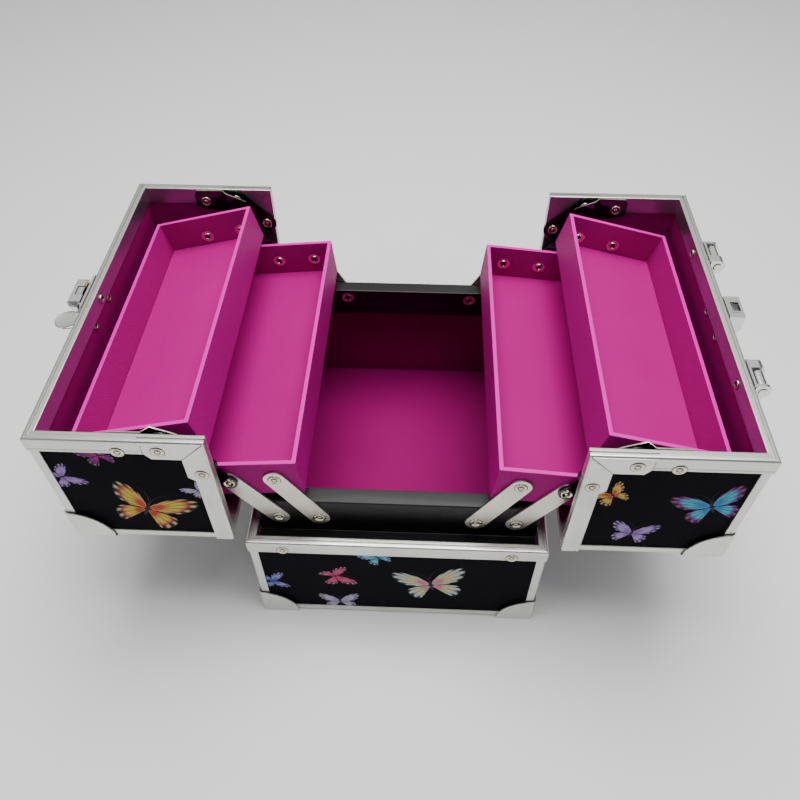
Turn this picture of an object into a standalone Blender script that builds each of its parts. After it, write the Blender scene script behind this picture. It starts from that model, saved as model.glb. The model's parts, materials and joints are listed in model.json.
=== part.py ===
"""Makeup train case with two side-opening lids and four cantilever trays, shown open.

Lengths in the constants are millimetres and become metres in `place_mesh`. The origin is the
middle of the underside: X runs across the lids, Y from front to back, Z up. Both sides are the
same mechanism, so a side is built from outward distances `u` (x = side * u, side is -1 or +1).
"""
import math

import bmesh
import bpy
from mathutils import Matrix, Vector

MM = 0.001
GAP = 0.3
LEFT, RIGHT = -1, 1
FRONT, BACK = -1, 1
SIDE_NAME = {LEFT: "left", RIGHT: "right"}
END_NAME = {FRONT: "front", BACK: "back"}

# Case
HALF_DEPTH = 125.0
BASE_HALF_WIDTH = 99.5
BASE_HEIGHT = 96.0
LID_THICKNESS = 103.0
LID_SPAN = 102.0
HINGE_U, HINGE_Z = 106.0, 96.2
LID_OPEN_U = HINGE_U + 0.2
LID_OUTER_U = LID_OPEN_U + LID_THICKNESS
LID_LOW_Z = HINGE_Z + 3.85
LID_RIM_Z = LID_LOW_Z + LID_SPAN

# Wall build-up, as distances in from the outer face
PROFILE_THICK = 1.0
PANEL_OUT, PANEL_IN = 1.3, 4.3
LINING_OUT, LINING_IN = 4.6, 5.2
LEG_OUT, LEG_IN = 5.5, 6.5
LEG_DEPTH = 13.0
RIM_BAND, EDGE_BAND = 11.5, 6.5

# Layers between an end wall and the trays: (outer, inner) distance from the middle along Y
GUSSET_LAYER = (118.2, 117.0)
LID_STRAP_LAYER = (114.0, 112.8)
TRAY_STRAP_LAYER = (111.7, 110.5)
ARM_LAYER = (110.2, 109.0)
LOWER_TRAY_END = 108.7
UPPER_TRAY_END = 105.6

# Rivets
PIN_RADIUS, HEAD_RADIUS, TAIL_RADIUS = 1.8, 4.0, 3.2
HEAD_THICK = 0.8
HOLE_RADIUS = PIN_RADIUS + GAP
LOOSE_HOLE_RADIUS = PIN_RADIUS + 1.2
ROUND_STEPS = 14

# Tray linkage at rest, on one side: (u, z)
INNER_ARM_FOOT = (51.3, 106.4)
OUTER_ARM_FOOT = (77.8, 106.4)
ARM_WIDTH = 15.6
LOWER_PIVOT = (104.3, 145.1)
LOWER_TILT = 5.6
LOWER_PIVOT_SPACING = 28.5
OUTER_STRAP_SPACING = 25.8
UPPER_PIVOT = (129.6, 177.0)
UPPER_TILT = 14.0
UPPER_PIVOT_SPACING = 28.5
STRAP_WIDTH = 11.0
LID_STRAP_PIVOT = (157.0, 192.0)
LID_STRAP_HEAD, LID_STRAP_HEAD_ROUND = 16.0, 4.5
LID_STRAP_WIDTH = 10.0
GUSSET_RIVETS = ((133.5, 194.0), (112.5, 173.0))
GUSSET_WIDTH = 15.0
JOGGLE_HALF_LENGTH = 3.0

# Trays: width, height, inner edge beyond the inner pivot, rim above the pivots
LOWER_TRAY = (83.0, 30.6, 16.1, 14.7)
UPPER_TRAY = (78.0, 27.7, 13.8, 17.0)
TRAY_WALL = 2.8
TRAY_CORNER = 3.4

# Inner bars of the base, which carry the arms
BAR_HALF_LENGTH = 92.6
BAR_WEB = (108.7, 107.5)
BAR_TOP_Z, BAR_SHELF_Z = 122.5, 88.0
BAR_FLANGE_IN, BAR_SHELF_OUT = 97.5, 118.2
BAR_THICK = 1.2

# Lid hinges
HINGE_HALF_LENGTH = 88.0
KNUCKLES = 7
KNUCKLE_RADIUS, KNUCKLE_BORE = 3.0, 1.3
HINGE_PIN_RADIUS = 1.0
LEAF_THICK = 1.2
BASE_LEAF_Z = (79.0, 95.8)
LID_LEAF_END_U = 121.0

# Corner protectors
GUARD_THICK = 0.8
GUARD_REACH = 26.0

# Lock and strike, on the lid edges that meet
LOCK_HALF_WIDTH = 11.0
LOCK_U = (209.5, 221.0)
LOCK_TOP_Z = 201.6
LOCK_HEIGHT, LOCK_NOSE, LOCK_WALL = 21.0, 5.0, 1.2
LOCK_SLOT_Z = (192.9, 200.0)
BOLT_U = (212.9, 217.1)
BOLT_HALF_WIDTH, BOLT_SLACK = 3.6, 0.6
BOLT_LOW_Z = 193.5
STEM_TOP_Z, STEM_END_Y = 195.3, -15.5
THUMB_DISC_RADIUS = 8.5
THUMB_DISC_Z = (193.7, 195.1)
STRIKE_HALF_WIDTH = 10.0
STRIKE_OUTER_U = 219.5
STRIKE_HEIGHT, STRIKE_ROUND, POCKET_DEPTH = 16.0, 7.0, 9.0

# Handle, on the right lid
HANDLE_U, HANDLE_Z = 216.0, 196.0
MOUNT_Y = 58.0
MOUNT_HALF_WIDTH, MOUNT_CHEEK = 11.0, 2.0
MOUNT_FOOT_THICK, MOUNT_LOW_Z, MOUNT_CHEEK_ROUND = 1.5, 190.8, 5.2
HANDLE_DROP = 38.0
HANDLE_PIN_RADIUS, EYE_RADIUS = 2.0, 3.9
BAIL_HALF_THICK, BAIL_HALF_HEIGHT = 1.8, 3.0
GRIP_HALF_THICK, GRIP_HALF_HEIGHT, GRIP_ROUND = 5.8, 8.5, 5.0

MATERIALS = {
    "aluminium": ((0.62, 0.63, 0.61), 0.35, 0.9),
    "fabric": ((0.012, 0.012, 0.02), 0.8, 0.0),
    "lining": ((0.30, 0.005, 0.16), 0.45, 0.0),
    "black_steel": ((0.012, 0.012, 0.014), 0.25, 0.6),
    "nickel": ((0.66, 0.66, 0.64), 0.2, 1.0),
    "tray": ((0.50, 0.01, 0.28), 0.4, 0.0),
    "grip": ((0.02, 0.02, 0.02), 0.5, 0.0),
}


# ---------------------------------------------------------------- outlines and solids

def rectangle(a0, b0, a1, b1):
    return [(a0, b0), (a1, b0), (a1, b1), (a0, b1)]


def rounded_rectangle(a0, b0, a1, b1, radius, steps=4):
    """A rectangle whose corners are quarter circles."""
    centres = (
        (a1 - radius, b0 + radius, -90),
        (a1 - radius, b1 - radius, 0),
        (a0 + radius, b1 - radius, 90),
        (a0 + radius, b0 + radius, 180),
    )
    points = []
    for ca, cb, start in centres:
        for step in range(steps + 1):
            angle = math.radians(start + 90 * step / steps)
            points.append((ca + radius * math.cos(angle), cb + radius * math.sin(angle)))
    return points


def capsule(start, end, width, steps=8):
    """A bar with round ends about two points."""
    along = math.atan2(end[1] - start[1], end[0] - start[0])
    points = []
    for (ca, cb), turn in ((end, along - math.pi / 2), (start, along + math.pi / 2)):
        for step in range(steps + 1):
            angle = turn + math.pi * step / steps
            points.append((ca + width / 2 * math.cos(angle), cb + width / 2 * math.sin(angle)))
    return points


def circle(centre, radius, steps=ROUND_STEPS):
    angles = [2 * math.pi * step / steps for step in range(steps)]
    return [(centre[0] + radius * math.cos(a), centre[1] + radius * math.sin(a)) for a in angles]


def prism(bm, outline, axis, start, end):
    """Extrude an outline along an axis. The outline's plane is YZ, XZ or XY."""
    def point(pair, level):
        a, b = pair
        return {"x": (level, a, b), "y": (a, level, b), "z": (a, b, level)}[axis]

    rings = [[bm.verts.new(point(pair, level)) for pair in outline] for level in (start, end)]
    count = len(outline)
    for i in range(count):
        j = (i + 1) % count
        bm.faces.new((rings[0][i], rings[0][j], rings[1][j], rings[1][i]))
    bm.faces.new(rings[0])
    bm.faces.new(rings[1])


def box(bm, low, high):
    prism(bm, rectangle(low[0], low[1], high[0], high[1]), "z", low[2], high[2])


def turned(bm, centre, profile, steps=ROUND_STEPS):
    """A solid turned about an axis along Y through (x, z); profile holds (radius, y) pairs."""
    rings = []
    for radius, y in profile:
        rings.append([bm.verts.new((x, y, z)) for x, z in circle(centre, radius, steps)])
    for ring, following in zip(rings, rings[1:]):
        for i in range(steps):
            j = (i + 1) % steps
            bm.faces.new((ring[i], ring[j], following[j], following[i]))
    bm.faces.new(rings[0])
    bm.faces.new(rings[-1])


# ---------------------------------------------------------------- objects

def clear_scene():
    for item in list(bpy.data.objects):
        bpy.data.objects.remove(item, do_unlink=True)


def make_materials():
    made = {}
    for name, (colour, roughness, metallic) in MATERIALS.items():
        made[name] = bpy.data.materials.new(name)
        made[name].use_nodes = True
        shader = made[name].node_tree.nodes["Principled BSDF"]
        shader.inputs["Base Color"].default_value = (*colour, 1.0)
        shader.inputs["Roughness"].default_value = roughness
        shader.inputs["Metallic"].default_value = metallic
    return made


def joint_empty(name, position, parent=None):
    """An empty on a joint's axis, which the moving pieces hang from."""
    empty = bpy.data.objects.new(name, None)
    bpy.context.collection.objects.link(empty)
    empty.location = Vector(position) * MM
    attach(empty, parent)
    return empty


def attach(child, parent):
    if parent is not None:
        bpy.context.view_layer.update()
        child.parent = parent
        child.matrix_parent_inverse = parent.matrix_world.inverted()
    bpy.context.view_layer.update()


def place_mesh(name, bm, parent):
    """Make an object from a mesh in millimetres, with its origin at its parent's."""
    origin = Vector((0, 0, 0))
    if parent is not None:
        origin = parent.matrix_world.translation.copy()
    bmesh.ops.recalc_face_normals(bm, faces=bm.faces)
    bm.transform(Matrix.Translation(-origin) @ Matrix.Scale(MM, 4))
    mesh = bpy.data.meshes.new(name)
    bm.to_mesh(mesh)
    bm.free()
    item = bpy.data.objects.new(name, mesh)
    bpy.context.collection.objects.link(item)
    item.location = origin
    attach(item, parent)
    return item


def part(name, bm, material, parent=None):
    item = place_mesh(name, bm, parent)
    item.data.materials.append(MADE[material])
    item.data.shade_smooth()
    item.data.set_sharp_from_angle(angle=math.radians(35))
    return item


def combine(item, bm, operation, label):
    """Union, cut or intersect an object with a hidden tool mesh."""
    tool = place_mesh(f"{item.name}.{label}", bm, item.parent)
    tool.hide_render = True
    tool.display_type = "WIRE"
    modifier = item.modifiers.new(label, "BOOLEAN")
    modifier.operation = operation
    modifier.solver = "EXACT"
    modifier.object = tool


# ---------------------------------------------------------------- case shells

class Shell:
    """A rectangular shell with some faces open; faces are named -x, +x, -y, +y, -z, +z."""

    def __init__(self, low, high, open_faces):
        self.low, self.high = low, high
        self.open_faces = open_faces

    def inset(self, closed, opened):
        """The shell's box moved in by one amount at its closed faces and another at its open ones."""
        low, high = list(self.low), list(self.high)
        for k, letter in enumerate("xyz"):
            low[k] += opened if f"-{letter}" in self.open_faces else closed
            high[k] -= opened if f"+{letter}" in self.open_faces else closed
        return low, high

    def closed_faces(self):
        return [sign + letter for letter in "xyz" for sign in "-+"
                if sign + letter not in self.open_faces]

    def panel_window(self, face):
        """The box that cuts a panel's window out of one closed face of the frame."""
        low, high = list(self.low), list(self.high)
        for k, letter in enumerate("xyz"):
            if letter == face[1]:
                continue
            low[k] += RIM_BAND if f"-{letter}" in self.open_faces else EDGE_BAND
            high[k] -= RIM_BAND if f"+{letter}" in self.open_faces else EDGE_BAND
        k = "xyz".index(face[1])
        reach = PROFILE_THICK + 0.1
        if face[0] == "-":
            low[k], high[k] = self.low[k] - 1, self.low[k] + reach
        else:
            low[k], high[k] = self.high[k] - reach, self.high[k] + 1
        return low, high


def hollow(name, material, parent, outer, cavity):
    bm = bmesh.new()
    box(bm, *outer)
    item = part(name, bm, material, parent)
    tool = bmesh.new()
    box(tool, *cavity)
    combine(item, tool, "DIFFERENCE", "cavity")
    return item


def frame_profiles(name, shell, parent, windows):
    """The edge profiles: a thin outer angle along each edge and a U round the opening."""
    item = hollow(name, "aluminium", parent, shell.inset(0, 0),
                  shell.inset(PROFILE_THICK, PROFILE_THICK))
    tool = bmesh.new()
    box(tool, *shell.inset(LEG_IN, -1))
    combine(item, tool, "DIFFERENCE", "opening")
    for face in windows:
        tool = bmesh.new()
        box(tool, *shell.panel_window(face))
        combine(item, tool, "DIFFERENCE", f"window_{'plus' if face[0] == '+' else 'minus'}_{face[1]}")
    leg = hollow(f"{name}.leg", "aluminium", parent, shell.inset(LEG_OUT, 0), shell.inset(LEG_IN, -1))
    leg.hide_render = True
    leg.display_type = "WIRE"
    tool = bmesh.new()
    box(tool, *shell.inset(0, LEG_DEPTH))
    combine(leg, tool, "DIFFERENCE", "depth")
    modifier = item.modifiers.new("leg", "BOOLEAN")
    modifier.operation = "UNION"
    modifier.solver = "EXACT"
    modifier.object = leg
    return item


def shell_set(prefix, shell, parent):
    """Panels, lining and edge profiles of the base or of a lid."""
    casing = hollow(f"{prefix}_casing", "fabric", parent,
                    shell.inset(PANEL_OUT, PANEL_OUT), shell.inset(PANEL_IN, -1))
    hollow(f"{prefix}_lining", "lining", parent,
           shell.inset(LINING_OUT, PANEL_OUT), shell.inset(LINING_IN, -1))
    frame_profiles(f"{prefix}_frame", shell, parent, shell.closed_faces())
    return casing


def corner_guard(name, corner, inward, parent, faces):
    """A rounded sheet over a corner; inward points from the corner into the case."""
    bm = bmesh.new()
    reach = [GUARD_REACH * step for step in inward]
    cover = [-(GAP + GUARD_THICK) * step if letter in faces else 0
             for step, letter in zip(inward, "xyz")]
    ends = [sorted((corner[k] + cover[k], corner[k] + reach[k])) for k in range(3)]
    box(bm, [e[0] for e in ends], [e[1] for e in ends])
    item = part(name, bm, "nickel", parent)

    tool = bmesh.new()
    under = [-GAP * step if letter in faces else -2 * step for step, letter in zip(inward, "xyz")]
    past = [(GUARD_REACH + 2) * step for step in inward]
    ends = [sorted((corner[k] + under[k], corner[k] + past[k])) for k in range(3)]
    box(tool, [e[0] for e in ends], [e[1] for e in ends])
    combine(item, tool, "DIFFERENCE", "case")

    tool = bmesh.new()
    bmesh.ops.create_uvsphere(tool, u_segments=32, v_segments=16, radius=GUARD_REACH,
                              matrix=Matrix.Translation(Vector(corner)))
    combine(item, tool, "INTERSECT", "round")


# ---------------------------------------------------------------- base

def build_base():
    shell = Shell((-BASE_HALF_WIDTH, -HALF_DEPTH, 0), (BASE_HALF_WIDTH, HALF_DEPTH, BASE_HEIGHT), ["+z"])
    casing = shell_set("base", shell, None)
    add_bottom_panel(casing)
    for side in (LEFT, RIGHT):
        for end in (FRONT, BACK):
            corner_guard(f"base_corner_{SIDE_NAME[side]}_{END_NAME[end]}",
                         (side * BASE_HALF_WIDTH, end * HALF_DEPTH, 0), (-side, -end, 1), None, "xy")
    for end in (FRONT, BACK):
        build_bar(end)


def add_bottom_panel(casing):
    """The bottom panel fills the frame's window and is what the case stands on."""
    bm = bmesh.new()
    inset = EDGE_BAND + GAP
    box(bm, (-BASE_HALF_WIDTH + inset, -HALF_DEPTH + inset, 0),
        (BASE_HALF_WIDTH - inset, HALF_DEPTH - inset, PANEL_OUT + 1))
    combine(casing, bm, "UNION", "bottom")


def build_bar(end):
    """A folded bar: a web, a flange on top towards the middle, a shelf towards the end wall."""
    def strip(y0, y1, z0, z1):
        bm = bmesh.new()
        ends = sorted((end * y0, end * y1))
        box(bm, (-BAR_HALF_LENGTH, ends[0], z0), (BAR_HALF_LENGTH, ends[1], z1))
        return bm

    item = part(f"base_bar_{END_NAME[end]}",
                strip(BAR_WEB[1], BAR_WEB[0], BAR_SHELF_Z, BAR_TOP_Z), "black_steel")
    combine(item, strip(BAR_FLANGE_IN, BAR_WEB[0] - 0.1, BAR_TOP_Z - BAR_THICK, BAR_TOP_Z),
            "UNION", "flange")
    combine(item, strip(BAR_WEB[1] + 0.1, BAR_SHELF_OUT, BAR_SHELF_Z, BAR_SHELF_Z + BAR_THICK),
            "UNION", "shelf")
    holes = bmesh.new()
    for side in (LEFT, RIGHT):
        for foot in (INNER_ARM_FOOT, OUTER_ARM_FOOT):
            pin_hole(holes, side, foot, end, BAR_WEB, HOLE_RADIUS)
    combine(item, holes, "DIFFERENCE", "holes")


def pin_hole(bm, side, pivot, end, layer, radius):
    ends = sorted((end * (layer[0] + 1), end * (layer[1] - 2)))
    prism(bm, circle((side * pivot[0], pivot[1]), radius), "y", ends[0], ends[1])


# ---------------------------------------------------------------- linkage

def mirrored(side, outline):
    return [(side * u, z) for u, z in outline]


def plate(side, end, outline, layer):
    bm = bmesh.new()
    prism(bm, mirrored(side, outline), "y", end * layer[0], end * layer[1])
    return bm


def rivet(bm, side, end, pivot, layer, wall=None, spacer=False):
    """A rivet on a plate: head outside, and a pin through the wall with a tail behind it."""
    centre = (side * pivot[0], pivot[1])
    profile = [(HEAD_RADIUS - 0.9, layer[0] + HEAD_THICK), (HEAD_RADIUS, layer[0] + 0.2)]
    if wall is None:
        profile += [(HEAD_RADIUS, layer[1] + 0.2)]
    else:
        tail = wall[1] - GAP
        if spacer:
            profile += [(HEAD_RADIUS, wall[0] + GAP), (PIN_RADIUS, wall[0] + GAP)]
        else:
            profile += [(HEAD_RADIUS, layer[1] + 0.2), (PIN_RADIUS, layer[1] + 0.2)]
        profile += [(PIN_RADIUS, tail), (TAIL_RADIUS, tail), (TAIL_RADIUS - 0.8, tail - HEAD_THICK)]
    turned(bm, centre, [(radius, end * y) for radius, y in profile])


def flush_pin(bm, side, end, pivot, layer, wall):
    """A pin without a head outside, for a plate that another one covers."""
    centre = (side * pivot[0], pivot[1])
    tail = wall[1] - GAP
    profile = [(PIN_RADIUS, layer[0] - 0.3), (PIN_RADIUS, tail), (TAIL_RADIUS, tail),
               (TAIL_RADIUS - 0.8, tail - HEAD_THICK)]
    turned(bm, centre, [(radius, end * y) for radius, y in profile])


def tilt_point(centre, offset, tilt):
    """A point beside a pivot on a tray that leans outwards by tilt degrees."""
    angle = math.radians(tilt)
    u, z = offset
    return (centre[0] + u * math.cos(angle) + z * math.sin(angle),
            centre[1] - u * math.sin(angle) + z * math.cos(angle))


LOWER_WALL = (LOWER_TRAY_END, LOWER_TRAY_END - TRAY_WALL)
UPPER_WALL = (UPPER_TRAY_END, UPPER_TRAY_END - TRAY_WALL)
INNER_ARM_HEAD = tilt_point(LOWER_PIVOT, (-LOWER_PIVOT_SPACING, 0), LOWER_TILT)
OUTER_STRAP_FOOT = tilt_point(LOWER_PIVOT, (OUTER_STRAP_SPACING, 0), LOWER_TILT)
OUTER_STRAP_HEAD = tilt_point(UPPER_PIVOT, (UPPER_PIVOT_SPACING, 0), UPPER_TILT)


def build_arm(side, end, name, foot, head, parent, head_rivet):
    """An arm from the bar in the base to the lower tray."""
    item = part(f"{SIDE_NAME[side]}_{name}_{END_NAME[end]}",
                plate(side, end, capsule(foot, head, ARM_WIDTH), ARM_LAYER), "aluminium", parent)
    rivets = bmesh.new()
    rivet(rivets, side, end, foot, ARM_LAYER, BAR_WEB)
    if head_rivet:
        rivet(rivets, side, end, head, ARM_LAYER, LOWER_WALL)
    combine(item, rivets, "UNION", "rivets")
    if not head_rivet:
        hole = bmesh.new()
        pin_hole(hole, side, head, end, ARM_LAYER, HOLE_RADIUS)
        combine(item, hole, "DIFFERENCE", "hole")


def build_inner_strap(side, end, parent):
    """The strap from the lower tray's outer pivot to the upper tray's inner one."""
    item = part(f"{SIDE_NAME[side]}_inner_strap_{END_NAME[end]}",
                plate(side, end, capsule(LOWER_PIVOT, UPPER_PIVOT, STRAP_WIDTH), TRAY_STRAP_LAYER),
                "black_steel", parent)
    rivets = bmesh.new()
    rivet(rivets, side, end, LOWER_PIVOT, TRAY_STRAP_LAYER, LOWER_WALL)
    flush_pin(rivets, side, end, UPPER_PIVOT, TRAY_STRAP_LAYER, UPPER_WALL)
    combine(item, rivets, "UNION", "rivets")


def build_outer_strap(side, end, parent):
    """The strap beside it, which keeps the upper tray from tipping."""
    item = part(f"{SIDE_NAME[side]}_outer_strap_{END_NAME[end]}",
                plate(side, end, capsule(OUTER_STRAP_FOOT, OUTER_STRAP_HEAD, STRAP_WIDTH),
                      TRAY_STRAP_LAYER), "black_steel", parent)
    rivets = bmesh.new()
    rivet(rivets, side, end, OUTER_STRAP_FOOT, TRAY_STRAP_LAYER, LOWER_WALL, spacer=True)
    rivet(rivets, side, end, OUTER_STRAP_HEAD, TRAY_STRAP_LAYER, UPPER_WALL)
    combine(item, rivets, "UNION", "rivets")


def build_lid_strap(side, end, parent):
    """A strap whose wide head turns on the lid's end wall and which steps in to the upper tray."""
    u, z = LID_STRAP_PIVOT
    half = LID_STRAP_HEAD / 2
    head = rounded_rectangle(u - half, z - half, u + half, z + half, LID_STRAP_HEAD_ROUND)
    item = part(f"{SIDE_NAME[side]}_lid_strap_{END_NAME[end]}",
                plate(side, end, head, GUSSET_LAYER), "black_steel", parent)

    along = Vector((UPPER_PIVOT[0] - u, UPPER_PIVOT[1] - z)).normalized()
    across = Vector((-along.y, along.x)) * LID_STRAP_WIDTH / 2
    step_start, step_end = half - JOGGLE_HALF_LENGTH, half + JOGGLE_HALF_LENGTH
    pivot = Vector((u, z))
    joggle = bmesh.new()
    rings = []
    for reach, layer in ((step_start, GUSSET_LAYER), (step_end, LID_STRAP_LAYER)):
        ring = []
        for sign, y in ((-1, layer[0]), (1, layer[0]), (1, layer[1]), (-1, layer[1])):
            corner = pivot + along * reach + across * sign
            ring.append(joggle.verts.new((side * corner.x, end * y, corner.y)))
        rings.append(ring)
    for i in range(4):
        j = (i + 1) % 4
        joggle.faces.new((rings[0][i], rings[0][j], rings[1][j], rings[1][i]))
    joggle.faces.new(rings[0])
    joggle.faces.new(rings[1])
    combine(item, joggle, "UNION", "joggle")

    start = pivot + along * (step_end + 1.0)
    tip = plate(side, end, capsule(tuple(start), UPPER_PIVOT, LID_STRAP_WIDTH), LID_STRAP_LAYER)
    combine(item, tip, "UNION", "tip")
    rivets = bmesh.new()
    rivet(rivets, side, end, UPPER_PIVOT, LID_STRAP_LAYER)
    inner_head(rivets, side, end, LID_STRAP_PIVOT, GUSSET_LAYER)
    combine(item, rivets, "UNION", "rivets")


def inner_head(bm, side, end, pivot, layer):
    """A rivet head on the face of a plate that looks into the case."""
    profile = [(HEAD_RADIUS, layer[1] + 0.2), (HEAD_RADIUS, layer[1] - 0.3),
               (HEAD_RADIUS - 1.2, layer[1] - HEAD_THICK)]
    turned(bm, (side * pivot[0], pivot[1]), [(radius, end * y) for radius, y in profile])


def build_gusset(side, end, parent):
    item = part(f"{SIDE_NAME[side]}_gusset_{END_NAME[end]}",
                plate(side, end, capsule(*GUSSET_RIVETS, GUSSET_WIDTH), GUSSET_LAYER),
                "black_steel", parent)
    rivets = bmesh.new()
    for pivot in GUSSET_RIVETS:
        inner_head(rivets, side, end, pivot, GUSSET_LAYER)
    combine(item, rivets, "UNION", "rivets")


def build_tray(side, level, pivot, size, end_y, tilt, holes_at, parent):
    """An open tray, modelled level about its pivot and then leant outwards."""
    width, height, inner_edge, rim = size
    u_low = min(holes_at) - inner_edge
    u_high = u_low + width
    item = None
    for label, wall, top in (("outer", 0, rim), ("inner", TRAY_WALL, rim + 2)):
        corner = TRAY_CORNER - wall
        outline = rounded_rectangle(u_low + wall, -end_y + wall, u_high - wall, end_y - wall, corner)
        bm = bmesh.new()
        prism(bm, [(side * u, y) for u, y in outline], "z", rim - height + wall, top)
        lean(bm, side, pivot, tilt)
        if item is None:
            item = part(f"{SIDE_NAME[side]}_{level}_tray", bm, "tray", parent)
        else:
            combine(item, bm, "DIFFERENCE", label)
    holes = bmesh.new()
    for offset in holes_at:
        radius = LOOSE_HOLE_RADIUS if offset else HOLE_RADIUS
        for end in (FRONT, BACK):
            pin_hole(holes, side, (offset, 0), end, (end_y, end_y - TRAY_WALL), radius)
    lean(holes, side, pivot, tilt)
    combine(item, holes, "DIFFERENCE", "holes")


def lean(bm, side, pivot, tilt):
    """Turn a mesh modelled about the origin so that its outer side drops, and put it on its pivot."""
    turn = Matrix.Rotation(math.radians(side * tilt), 4, "Y")
    bm.transform(Matrix.Translation((side * pivot[0], 0, pivot[1])) @ turn)


def build_side_linkage(side, lid):
    """Trays, arms and straps of one side, each hung from the empty of its own joint."""
    name = SIDE_NAME[side]

    def pivot_empty(label, pivot, parent=None):
        return joint_empty(f"{name}_{label}_pivot", (side * pivot[0], 0, pivot[1]), parent)

    inner_arm = pivot_empty("inner_arm", INNER_ARM_FOOT)
    outer_arm = pivot_empty("outer_arm", OUTER_ARM_FOOT)
    lower_tray = pivot_empty("lower_tray", LOWER_PIVOT, outer_arm)
    inner_strap = pivot_empty("inner_strap", LOWER_PIVOT, lower_tray)
    outer_strap = pivot_empty("outer_strap", OUTER_STRAP_FOOT, lower_tray)
    upper_tray = pivot_empty("upper_tray", UPPER_PIVOT, inner_strap)
    lid_strap = pivot_empty("lid_strap", LID_STRAP_PIVOT, lid)

    build_tray(side, "lower", LOWER_PIVOT, LOWER_TRAY, LOWER_TRAY_END, LOWER_TILT,
               (0, -LOWER_PIVOT_SPACING, OUTER_STRAP_SPACING), lower_tray)
    build_tray(side, "upper", UPPER_PIVOT, UPPER_TRAY, UPPER_TRAY_END, UPPER_TILT,
               (0, UPPER_PIVOT_SPACING), upper_tray)
    for end in (FRONT, BACK):
        build_arm(side, end, "inner_arm", INNER_ARM_FOOT, INNER_ARM_HEAD, inner_arm, True)
        build_arm(side, end, "outer_arm", OUTER_ARM_FOOT, LOWER_PIVOT, outer_arm, False)
        build_inner_strap(side, end, inner_strap)
        build_outer_strap(side, end, outer_strap)
        build_lid_strap(side, end, lid_strap)
        build_gusset(side, end, lid)


# ---------------------------------------------------------------- lids and hinges

def build_lid(side):
    name = SIDE_NAME[side]
    lid = joint_empty(f"{name}_lid_hinge", (side * HINGE_U, 0, HINGE_Z))
    ends = sorted((side * LID_OPEN_U, side * LID_OUTER_U))
    open_side = "+x" if side == LEFT else "-x"
    shell = Shell((ends[0], -HALF_DEPTH, LID_LOW_Z), (ends[1], HALF_DEPTH, LID_RIM_Z),
                  [open_side, "+z"])
    shell_set(f"{name}_lid", shell, lid)
    for end in (FRONT, BACK):
        corner_guard(f"{name}_lid_corner_{END_NAME[end]}",
                     (side * LID_OUTER_U, end * HALF_DEPTH, LID_LOW_Z), (-side, -end, 1), lid, "xyz")
    build_hinge(side, lid)
    return lid


def build_hinge(side, lid):
    """A long hinge: alternate knuckles belong to the base leaf and to the lid leaf."""
    name = SIDE_NAME[side]
    axis = (side * HINGE_U, HINGE_Z)
    pitch = 2 * HINGE_HALF_LENGTH / KNUCKLES
    spans = [(-HINGE_HALF_LENGTH + k * pitch + GAP / 2, -HINGE_HALF_LENGTH + (k + 1) * pitch - GAP / 2)
             for k in range(KNUCKLES)]

    def slab(bm, u0, u1, y0, y1, z0, z1):
        ends = sorted((side * u0, side * u1))
        box(bm, (ends[0], y0, z0), (ends[1], y1, z1))

    leaf_u = BASE_HALF_WIDTH + GAP
    bm = bmesh.new()
    slab(bm, leaf_u, leaf_u + LEAF_THICK, -HINGE_HALF_LENGTH, HINGE_HALF_LENGTH, *BASE_LEAF_Z)
    base_leaf = part(f"{name}_hinge_base_leaf", bm, "nickel")
    bm = bmesh.new()
    leaf_top = LID_LOW_Z - GAP
    slab(bm, HINGE_U + KNUCKLE_RADIUS + 0.6, LID_LEAF_END_U, -HINGE_HALF_LENGTH, HINGE_HALF_LENGTH,
         leaf_top - LEAF_THICK, leaf_top)
    lid_leaf = part(f"{name}_hinge_lid_leaf", bm, "nickel", lid)

    for leaf, turn in ((base_leaf, 0), (lid_leaf, 1)):
        webs, tubes, bore = bmesh.new(), bmesh.new(), bmesh.new()
        for y0, y1 in spans[turn::2]:
            if leaf is base_leaf:
                slab(webs, leaf_u + 0.1, HINGE_U - 1.6, y0, y1, BASE_LEAF_Z[1] - LEAF_THICK, BASE_LEAF_Z[1])
            else:
                slab(webs, HINGE_U - 0.4, LID_LEAF_END_U - 2, y0, y1, leaf_top - LEAF_THICK, leaf_top)
            prism(tubes, circle(axis, KNUCKLE_RADIUS), "y", y0 + 0.02, y1 - 0.02)
        prism(bore, circle(axis, KNUCKLE_BORE), "y", -HINGE_HALF_LENGTH - 2, HINGE_HALF_LENGTH + 2)
        combine(leaf, webs, "UNION", "webs")
        combine(leaf, tubes, "UNION", "knuckles")
        combine(leaf, bore, "DIFFERENCE", "bore")

    pin = bmesh.new()
    prism(pin, circle(axis, HINGE_PIN_RADIUS, 10), "y", -HINGE_HALF_LENGTH, HINGE_HALF_LENGTH)
    part(f"{name}_hinge_pin", pin, "nickel")


# ---------------------------------------------------------------- lock and handle

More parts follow.
